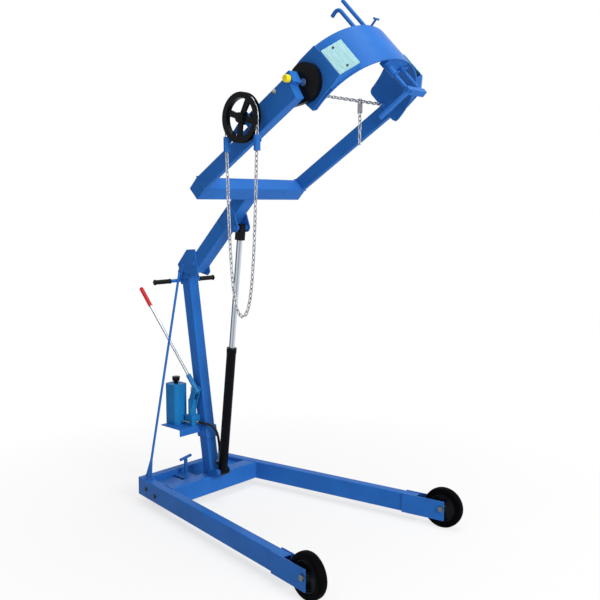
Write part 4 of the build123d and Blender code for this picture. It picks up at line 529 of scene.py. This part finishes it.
class DRUM_OT_stage(bpy.types.Operator):
    """Camera, floor and soft studio light"""

    bl_idname = "drum.stage"
    bl_label = "Stage"

    def execute(self, context):
        scene = context.scene
        scene.view_settings.view_transform = "Standard"
        lens = bpy.data.cameras.new("camera")
        # The lens was solved as 820 pixels long for a picture 600 pixels wide.
        lens.sensor_width = 36.0
        lens.lens = lens.sensor_width * 820 / 600
        lens.clip_end = 100.0
        eye = bpy.data.objects.new("camera", lens)
        heading, pitch, roll = radians(-41.975), radians(6.908), radians(0.184)
        ahead = Vector((cos(pitch) * sin(heading), cos(pitch) * cos(heading), -sin(pitch)))
        right = Vector((cos(heading), -sin(heading), 0))
        up = right.cross(ahead)
        across = right * cos(roll) + up * sin(roll)
        upright = up * cos(roll) - right * sin(roll)
        place = Matrix((across, upright, -ahead)).transposed().to_4x4()
        place.translation = at(3525, -2921, 1629)
        eye.matrix_world = place
        scene.collection.objects.link(eye)
        scene.camera = eye

        mesh = bmesh.new()
        bmesh.ops.create_grid(mesh, x_segments=1, y_segments=1, size=20.0)
        data = bpy.data.meshes.new("floor")
        mesh.to_mesh(data)
        mesh.free()
        floor = bpy.data.objects.new("floor", data)
        scene.collection.objects.link(floor)
        data.materials.append(pale_floor())

        sky = bpy.data.worlds.new("studio")
        scene.world = sky
        sky.use_nodes = True
        tree = sky.node_tree
        tree.nodes.clear()
        gathered, seen = 0.22, 1.0
        strength = node(tree, "ShaderNodeMapRange", {0: seen_rays(tree), 3: gathered, 4: seen})
        glow = node(tree, "ShaderNodeBackground", {"Color": (1, 1, 1, 1), "Strength": strength})
        fill(tree.nodes.new("ShaderNodeOutputWorld"), {"Surface": glow})

        for name, spot, aim, size, power in (
            ("key", (8.6, -1.2, 4.8), (0.2, 0, 1.2), 4.5, 640.0),
            ("top", (0.8, 0.6, 9.0), (0.1, 0, 1.0), 5.0, 320.0),
            ("fill", (1.6, -4.4, 5.2), (0.2, 0, 1.9), 3.0, 45.0),
        ):
            lamp = bpy.data.lights.new(name, "AREA")
            lamp.shape = "DISK"
            lamp.size = size
            lamp.energy = power
            holder = bpy.data.objects.new(name, lamp)
            turn = (Vector(aim) - Vector(spot)).to_track_quat("-Z", "Y")
            holder.matrix_world = Matrix.Translation(spot) @ turn.to_matrix().to_4x4()
            scene.collection.objects.link(holder)
        return {"FINISHED"}


def seen_rays(tree):
    """1 where the camera, a mirror or glass looks, 0 where light is gathered."""
    total = node(tree, "ShaderNodeLightPath", out="Is Camera Ray")
    for other in ("Is Glossy Ray", "Is Transmission Ray"):
        seen = node(tree, "ShaderNodeLightPath", out=other)
        total = node(tree, "ShaderNodeMath", {0: total, 1: seen}, operation="MAXIMUM")
    return total


def pale_floor():
    """White studio floor that keeps a soft shadow and runs out into the white behind it."""
    made = bpy.data.materials.new("studio_floor")
    made.use_nodes = True
    tree = made.node_tree
    tree.nodes.clear()
    matt = node(tree, "ShaderNodeBsdfDiffuse", {"Color": (0.9, 0.9, 0.9, 1.0)})
    glow = node(tree, "ShaderNodeEmission", {"Color": (1, 1, 1, 1), "Strength": 1.0})
    coords = node(tree, "ShaderNodeTexCoord", out="Object")
    away = node(tree, "ShaderNodeVectorMath", {0: coords}, "Value", operation="LENGTH")
    white = node(tree, "ShaderNodeMapRange", {0: away, 1: 0.6, 2: 2.2, 3: 0.7, 4: 1.0})
    share = node(tree, "ShaderNodeMath", {0: seen_rays(tree), 1: white}, operation="MULTIPLY")
    both = node(tree, "ShaderNodeMixShader", {0: share, 1: matt, 2: glow})
    fill(tree.nodes.new("ShaderNodeOutputMaterial"), {"Surface": both})
    return made


class DRUM_OT_hose(bpy.types.Operator):
    """Hydraulic hose from the pump block to the cylinder's port"""

    bl_idname = "drum.hose"
    bl_label = "Hydraulic hose"

    def execute(self, context):
        radius = context.scene.drum_size.hose_radius
        fitting, gap, stem_length = 18, 0.7, 58
        port_reach, port_height = 36.5, 45
        port = pivot("cylinder_swing") + PORT_SIDE * (port_reach * MM) + LIFT * (port_height * MM)
        end = port + LIFT * ((gap + stem_length) * MM)
        # The pump block's outlet
        x, y, z = 194, -54, 431
        start = at(x + fitting, y, z)
        route = [start, at(248, -52, 432), at(290, -30, 424), at(311, -12, 385)]
        route += [end + LIFT * (24 * MM), end]
        data = bpy.data.curves.new("hose", "CURVE")
        data.dimensions = "3D"
        data.bevel_depth = radius
        data.bevel_resolution = 6
        data.use_fill_caps = True
        data.resolution_u = 16
        line = data.splines.new("NURBS")
        line.points.add(len(route) - 1)
        for point, spot in zip(line.points, route):
            point.co = (*spot, 1.0)
        line.order_u = 3
        line.use_endpoint_u = True
        hose = bpy.data.objects.new("hose", data)
        context.scene.collection.objects.link(hose)
        data.materials.append(finish("hose_cover"))
        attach(hose, "base")

        mesh = bmesh.new()
        barb = [(0, 0), (9.6, 0), (9.6, 7), (8.4, 7.6), (8.4, 9), (9.0, 9.6), (9.0, 17.4)]
        barb += [(8.4, fitting), (0, fitting)]
        lathe(mesh, barb, axle_place(at(x, y, z), (1, 0, 0)), 6)
        lower = axle_place(port + LIFT * (gap * MM), LIFT)
        lathe(mesh, [(0, 0), (7.2, 0), (7.5, 0.6), (7.5, 11.4), (7.2, 12), (0, 12)], lower, 6)
        stem = [(0, 11.8), (5.2, 11.8), (5.2, 34), (6.8, 35), (7.5, 36), (7.5, 43), (7.1, 43.6)]
        stem += [(7.1, 45), (7.5, 45.6), (7.5, 57.4), (7.2, stem_length), (0, stem_length)]
        lathe(mesh, stem, lower, 24)
        shade(mesh, False)
        fittings = piece("hose_fittings", mesh, "base", finish("turned_steel"))
        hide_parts("hydraulic_hose")
        return {"FINISHED"}


def ribbed(bore, outer, pitch, start, end, flange, tip):
    """Profile of a ribbed grip along its bar, radius and place in millimetres."""
    profile = [(bore, start), (flange, start), (flange + 0.8, start + 1.2)]
    profile += [(flange + 0.8, start + 3.8), (flange - 1, start + 5), (outer - 1.2, start + 6.5)]
    count = int((end - start - 16) / pitch)
    for number in range(count):
        foot = start + 7.5 + number * pitch
        profile += [(outer - 1.4, foot), (outer, foot + 0.18 * pitch)]
        profile += [(outer, foot + 0.75 * pitch), (outer - 1.4, foot + 0.92 * pitch)]
    profile += [(outer - 1.2, end - 6), (tip - 0.6, end - 4.8), (tip, end - 3.8)]
    profile += [(tip, end - 1.6), (tip - 1.6, end), (0, end)]
    return profile


class DRUM_OT_grips(bpy.types.Operator):
    """Ribbed rubber grips on the push handle"""

    bl_idname = "drum.grips"
    bl_label = "Handle grips"

    def execute(self, context):
        pitch = context.scene.drum_size.rib_pitch / MM
        bar = on(MAST, -45.25, 0, 1073.5)
        profile = ribbed(
            bore=9.6, outer=12.5, pitch=pitch, start=103, end=209, flange=13.2, tip=15.4
        )
        grips = []
        for name, side in (("near_grip", -1), ("far_grip", 1)):
            mesh = bmesh.new()
            lathe(mesh, profile, axle_place(bar, (0, side, 0)), 40)
            grips.append(piece(name, mesh, "base", finish("grip_rubber")))
        for grip in grips:
            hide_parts("handle_grips")
        return {"FINISHED"}


class DRUM_OT_lever_grip(bpy.types.Operator):
    """Dipped red grip on the pump lever"""

    bl_idname = "drum.lever_grip"
    bl_label = "Lever grip"

    def execute(self, context):
        profile = [(7.55, 570), (9.8, 570.0), (11.2, 571.4), (11.6, 575), (11.0, 581)]
        ribs, pitch = 8, 12.4
        for number in range(ribs):
            foot = 584 + number * pitch
            profile += [(11.0, foot), (12.0, foot + 2.6), (12.0, foot + 8.6), (11.0, foot + 11.2)]
        profile += [(11.6, 686), (12.0, 690), (11.6, 696), (9.0, 699.2), (4.0, 700), (0, 700)]
        mesh = bmesh.new()
        lathe(mesh, profile, axle_place(pivot("lever_pump"), LEVER), 32)
        grip = piece("red_lever_grip", mesh, "lever", finish("dipped_vinyl"))
        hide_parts("lever_grip")
        return {"FINISHED"}


class DRUM_OT_wheels(bpy.types.Operator):
    """Front wheels: crowned tyre and stepped hub"""

    bl_idname = "drum.wheels"
    bl_label = "Front wheels"

    def execute(self, context):
        half = 23.5
        tyre = [(70, -half + 3), (84, -half + 1.5), (92, -half), (97, -half + 2.5)]
        tyre += [(100, -half + 8), (101.2, -half + 15), (101.6, 0)]
        tyre += [(radius, -height) for radius, height in reversed(tyre[:-1])]
        hub = [(9.6, -25), (20, -25), (22, -23.5), (22, -15), (26, -13.5), (58, -13.5)]
        hub += [(62, -15), (66, -19.5), (70.2, -19.5)]
        hub += [(radius, -height) for radius, height in reversed(hub)]
        for side in ("near", "far"):
            roll = side + "_wheel_roll"
            place = axle_place(pivot(roll), JOINTS[roll]["axis"])
            for name, profile, steps, material, slot in (
                ("_tyre", tyre, 72, "wheel_rubber", "black_tyre"),
                ("_hub", hub, 64, "drive_enamel", "black_paint"),
            ):
                mesh = bmesh.new()
                lathe(mesh, profile + profile[:1], place, steps)
                made = piece(side + name, mesh, side + "_wheel", finish(material))
                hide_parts(side + "_front_wheel")
        return {"FINISHED"}


class DRUM_OT_tank_cap(bpy.types.Operator):
    """Filler cap with finger flutes on the oil tank"""

    bl_idname = "drum.tank_cap"
    bl_label = "Tank cap"

    def execute(self, context):
        # The filler hole in the tank's top
        x, y, z = 75, -99, 634
        neck, segments, every = 18.4, 72, 3
        mesh = bmesh.new()
        profile = [(0, 0), (11, 0), (11, 12.4), (13, 13.4), (13, 15), (18.5, 15.2), (19.6, 16.4)]
        profile += [(19.6, neck), (0, neck)]
        lathe(mesh, profile, axle_place(at(x, y, z), (0, 0, 1)), 48)
        fluted = bmesh.new()
        cone = {"radius1": 19.8 * MM, "radius2": 21.8 * MM, "depth": 20.4 * MM}
        bmesh.ops.create_cone(fluted, cap_ends=True, segments=segments, **cone)
        turns = {v: round(atan2(v.co.y, v.co.x) / (2 * pi) * segments) for v in fluted.verts}
        flutes = [v for v, turn in turns.items() if turn % every == 0]
        bmesh.ops.scale(fluted, vec=(0.94, 0.94, 1.0), verts=flutes)
        rims = []
        for edge in fluted.edges:
            if abs(edge.verts[0].co.z - edge.verts[1].co.z) < 1e-6:
                rims.append(edge)
        bmesh.ops.bevel(
            fluted, geom=rims, offset=1.6 * MM, segments=2, profile=0.5, affect="EDGES", material=-1
        )
        bmesh.ops.translate(fluted, vec=at(x, y, z + neck + 10.3), verts=fluted.verts)
        data = bpy.data.meshes.new("flutes")
        fluted.to_mesh(data)
        fluted.free()
        mesh.from_mesh(data)
        bpy.data.meshes.remove(data)
        cap = piece("filler_cap", mesh, "base", finish("drive_enamel"))
        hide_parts("tank_cap")
        return {"FINISHED"}


def bead(mesh, start, end, radius, step):
    """Rippled weld bead between two points, sunk by half into the corner."""
    line = end - start
    count = max(2, int(line.length / step))
    turn = line.to_track_quat("Z", "Y").to_matrix().to_4x4()
    for number in range(count + 1):
        spot = start + line * (number / count)
        place = Matrix.Translation(spot) @ turn @ Matrix.Diagonal((1, 1, 0.8, 1))
        bmesh.ops.create_uvsphere(mesh, u_segments=7, v_segments=4, radius=radius, matrix=place)


def seam(mesh, spots, radius, step):
    """Weld beads along a run of points."""
    for start, end in zip(spots, spots[1:]):
        bead(mesh, start, end, radius, step)


def leg_inside(x, side):
    """Inside face of a leg, across the machine, in millimetres."""
    splay = radians(LEG_SPLAY)
    return (REAR_HALF + x * tan(splay) - TUBE_WIDTH / cos(splay)) * side


class DRUM_OT_welds(bpy.types.Operator):
    """Weld beads where the frame's tubes and plates meet"""

    bl_idname = "drum.welds"
    bl_label = "Welds"

    def execute(self, context):
        sizes = context.scene.drum_size
        radius, step = sizes.weld_radius, sizes.weld_step
        self.weld_base(radius, step)
        self.weld_boom(radius, step)
        return {"FINISHED"}

    def weld_base(self, radius, step):
        """Beads of the legs, side brace, mast foot and mast cheeks."""
        leg_low, leg_high = 48, 138
        brace_edges, brace_ends = (-303.8, -271.8), (38, 88)
        half, foot_half, cheek_edge = MAST_HALF, 32.12, 1079
        mesh = bmesh.new()
        for side in (-1, 1):
            for x in (TUBE_WIDTH, CROSS_BACK, CROSS_FRONT):
                spots = [at(x, leg_inside(x, side), z) for z in (leg_low, leg_high)]
                seam(mesh, spots, radius, step)
            for ends in ((0, TUBE_WIDTH), (CROSS_BACK, CROSS_FRONT)):
                spots = [at(x, leg_inside(x, side), FRAME_TOP) for x in ends]
                seam(mesh, spots, radius * 0.8, step)
        for y in brace_edges:
            seam(mesh, [at(x, y, FRAME_TOP) for x in brace_ends], radius * 0.7, step)
        ring = [(-foot_half, -half), (foot_half, -half), (foot_half, half), (-foot_half, half)]
        spots = [at(MAST_FOOT + x, y, FRAME_TOP) for x, y in ring]
        seam(mesh, spots + spots[:1], radius, step)
        for side in (-1, 1):
            spots = [on(MAST, x, side * half, cheek_edge) for x in (-half, half)]
            seam(mesh, spots, radius * 0.8, step)
        shade(mesh, True)
        piece("base_welds", mesh, "base", finish("weld_enamel"))

    def weld_boom(self, radius, step):
        """Beads of the yoke, arms, cylinder ears and drive box."""
        half = BOOM_HALF
        rise = half / cos(radians(BOOM_RISE - ARM_RISE))
        yoke_back, box_back = 519, 418
        ear_back, ear_front, ear_top = 320.4, 416.4, 17.9
        mesh = bmesh.new()
        ring = [(-half, -half), (half, -half), (half, half), (-half, half)]
        spots = [on(BOOM, yoke_back, y, z) for y, z in ring]
        seam(mesh, spots + spots[:1], radius, step)
        for side in (-1, 1):
            ring = [(ARM_INNER, -rise), (ARM_OUTER, -rise), (ARM_OUTER, rise), (ARM_INNER, rise)]
            spots = [on(BOOM, YOKE_AT, side * y, z) for y, z in ring]
            seam(mesh, spots[:2], radius, step)
            seam(mesh, spots[2:] + spots[:1], radius, step)
            ears = [(ear_back, ear_top), (ear_back, -half)]
            ears += [(ear_front, -half), (ear_front, ear_top)]
            spots = [on(BOOM, x, side * half, z) for x, z in ears]
            for pair in ((0, 3), (0, 1), (2, 3)):
                seam(mesh, [spots[number] for number in pair], radius * 0.8, step)
        collar = [(-ARM_OUTER, -half), (-ARM_OUTER, half), (-ARM_INNER, half)]
        seam(mesh, [on(ARM, box_back, y, z) for y, z in collar], radius, step)
        shade(mesh, True)
        piece("boom_welds", mesh, "boom_assembly", finish("weld_enamel"))


class DRUM_OT_box_bolt(bpy.types.Operator):
    """Hex bolt and washer at the drive box's upper edge"""

    bl_idname = "drum.box_bolt"
    bl_label = "Drive box bolt"

    def execute(self, context):
        mesh = bmesh.new()
        place = axle_place(on(ARM, 620, -378.4, 52), (0, -1, 0))
        lathe(mesh, [(0, 0), (10.5, 0), (11, 0.5), (11, 1.6), (10.5, 2.1), (0, 2.1)], place, 32)
        lathe(mesh, [(0, 2), (7.6, 2), (8.2, 2.8), (8.2, 7), (7.2, 8), (0, 8)], place, 6)
        piece("box_bolt", mesh, "boom_assembly", finish("turned_steel"))
        return {"FINISHED"}


class DRUM_PT_panel(bpy.types.Panel):
    """Lists the pieces"""

    bl_label = "Drum handler"
    bl_idname = "DRUM_PT_panel"
    bl_space_type = "VIEW_3D"
    bl_region_type = "UI"
    bl_category = "Drum handler"

    def draw(self, context):
        column = self.layout.column()
        for operator in OPERATORS:
            column.operator(operator.bl_idname)
        for group in (context.scene.drum_size, context.scene.drum_finish):
            for key in group.bl_rna.properties.keys():
                if key not in ("rna_type", "name"):
                    column.prop(group, key)


OPERATORS = (
    DRUM_OT_stage,
    DRUM_OT_finishes,
    DRUM_OT_hose,
    DRUM_OT_grips,
    DRUM_OT_lever_grip,
    DRUM_OT_wheels,
    DRUM_OT_tank_cap,
    DRUM_OT_welds,
    DRUM_OT_box_bolt,
)
CLASSES = (SizeSettings, FinishSettings) + OPERATORS + (DRUM_PT_panel,)


def register():
    for cls in CLASSES:
        bpy.utils.register_class(cls)
    bpy.types.Scene.drum_size = bpy.props.PointerProperty(type=SizeSettings)
    bpy.types.Scene.drum_finish = bpy.props.PointerProperty(type=FinishSettings)


def unregister():
    del bpy.types.Scene.drum_finish
    del bpy.types.Scene.drum_size
    for cls in reversed(CLASSES):
        bpy.utils.unregister_class(cls)


def main():
    """Build the scene in order."""
    register()
    for operator in OPERATORS:
        group, name = operator.bl_idname.split(".")
        getattr(getattr(bpy.ops, group), name)()


if __name__ == "__main__":
    main()
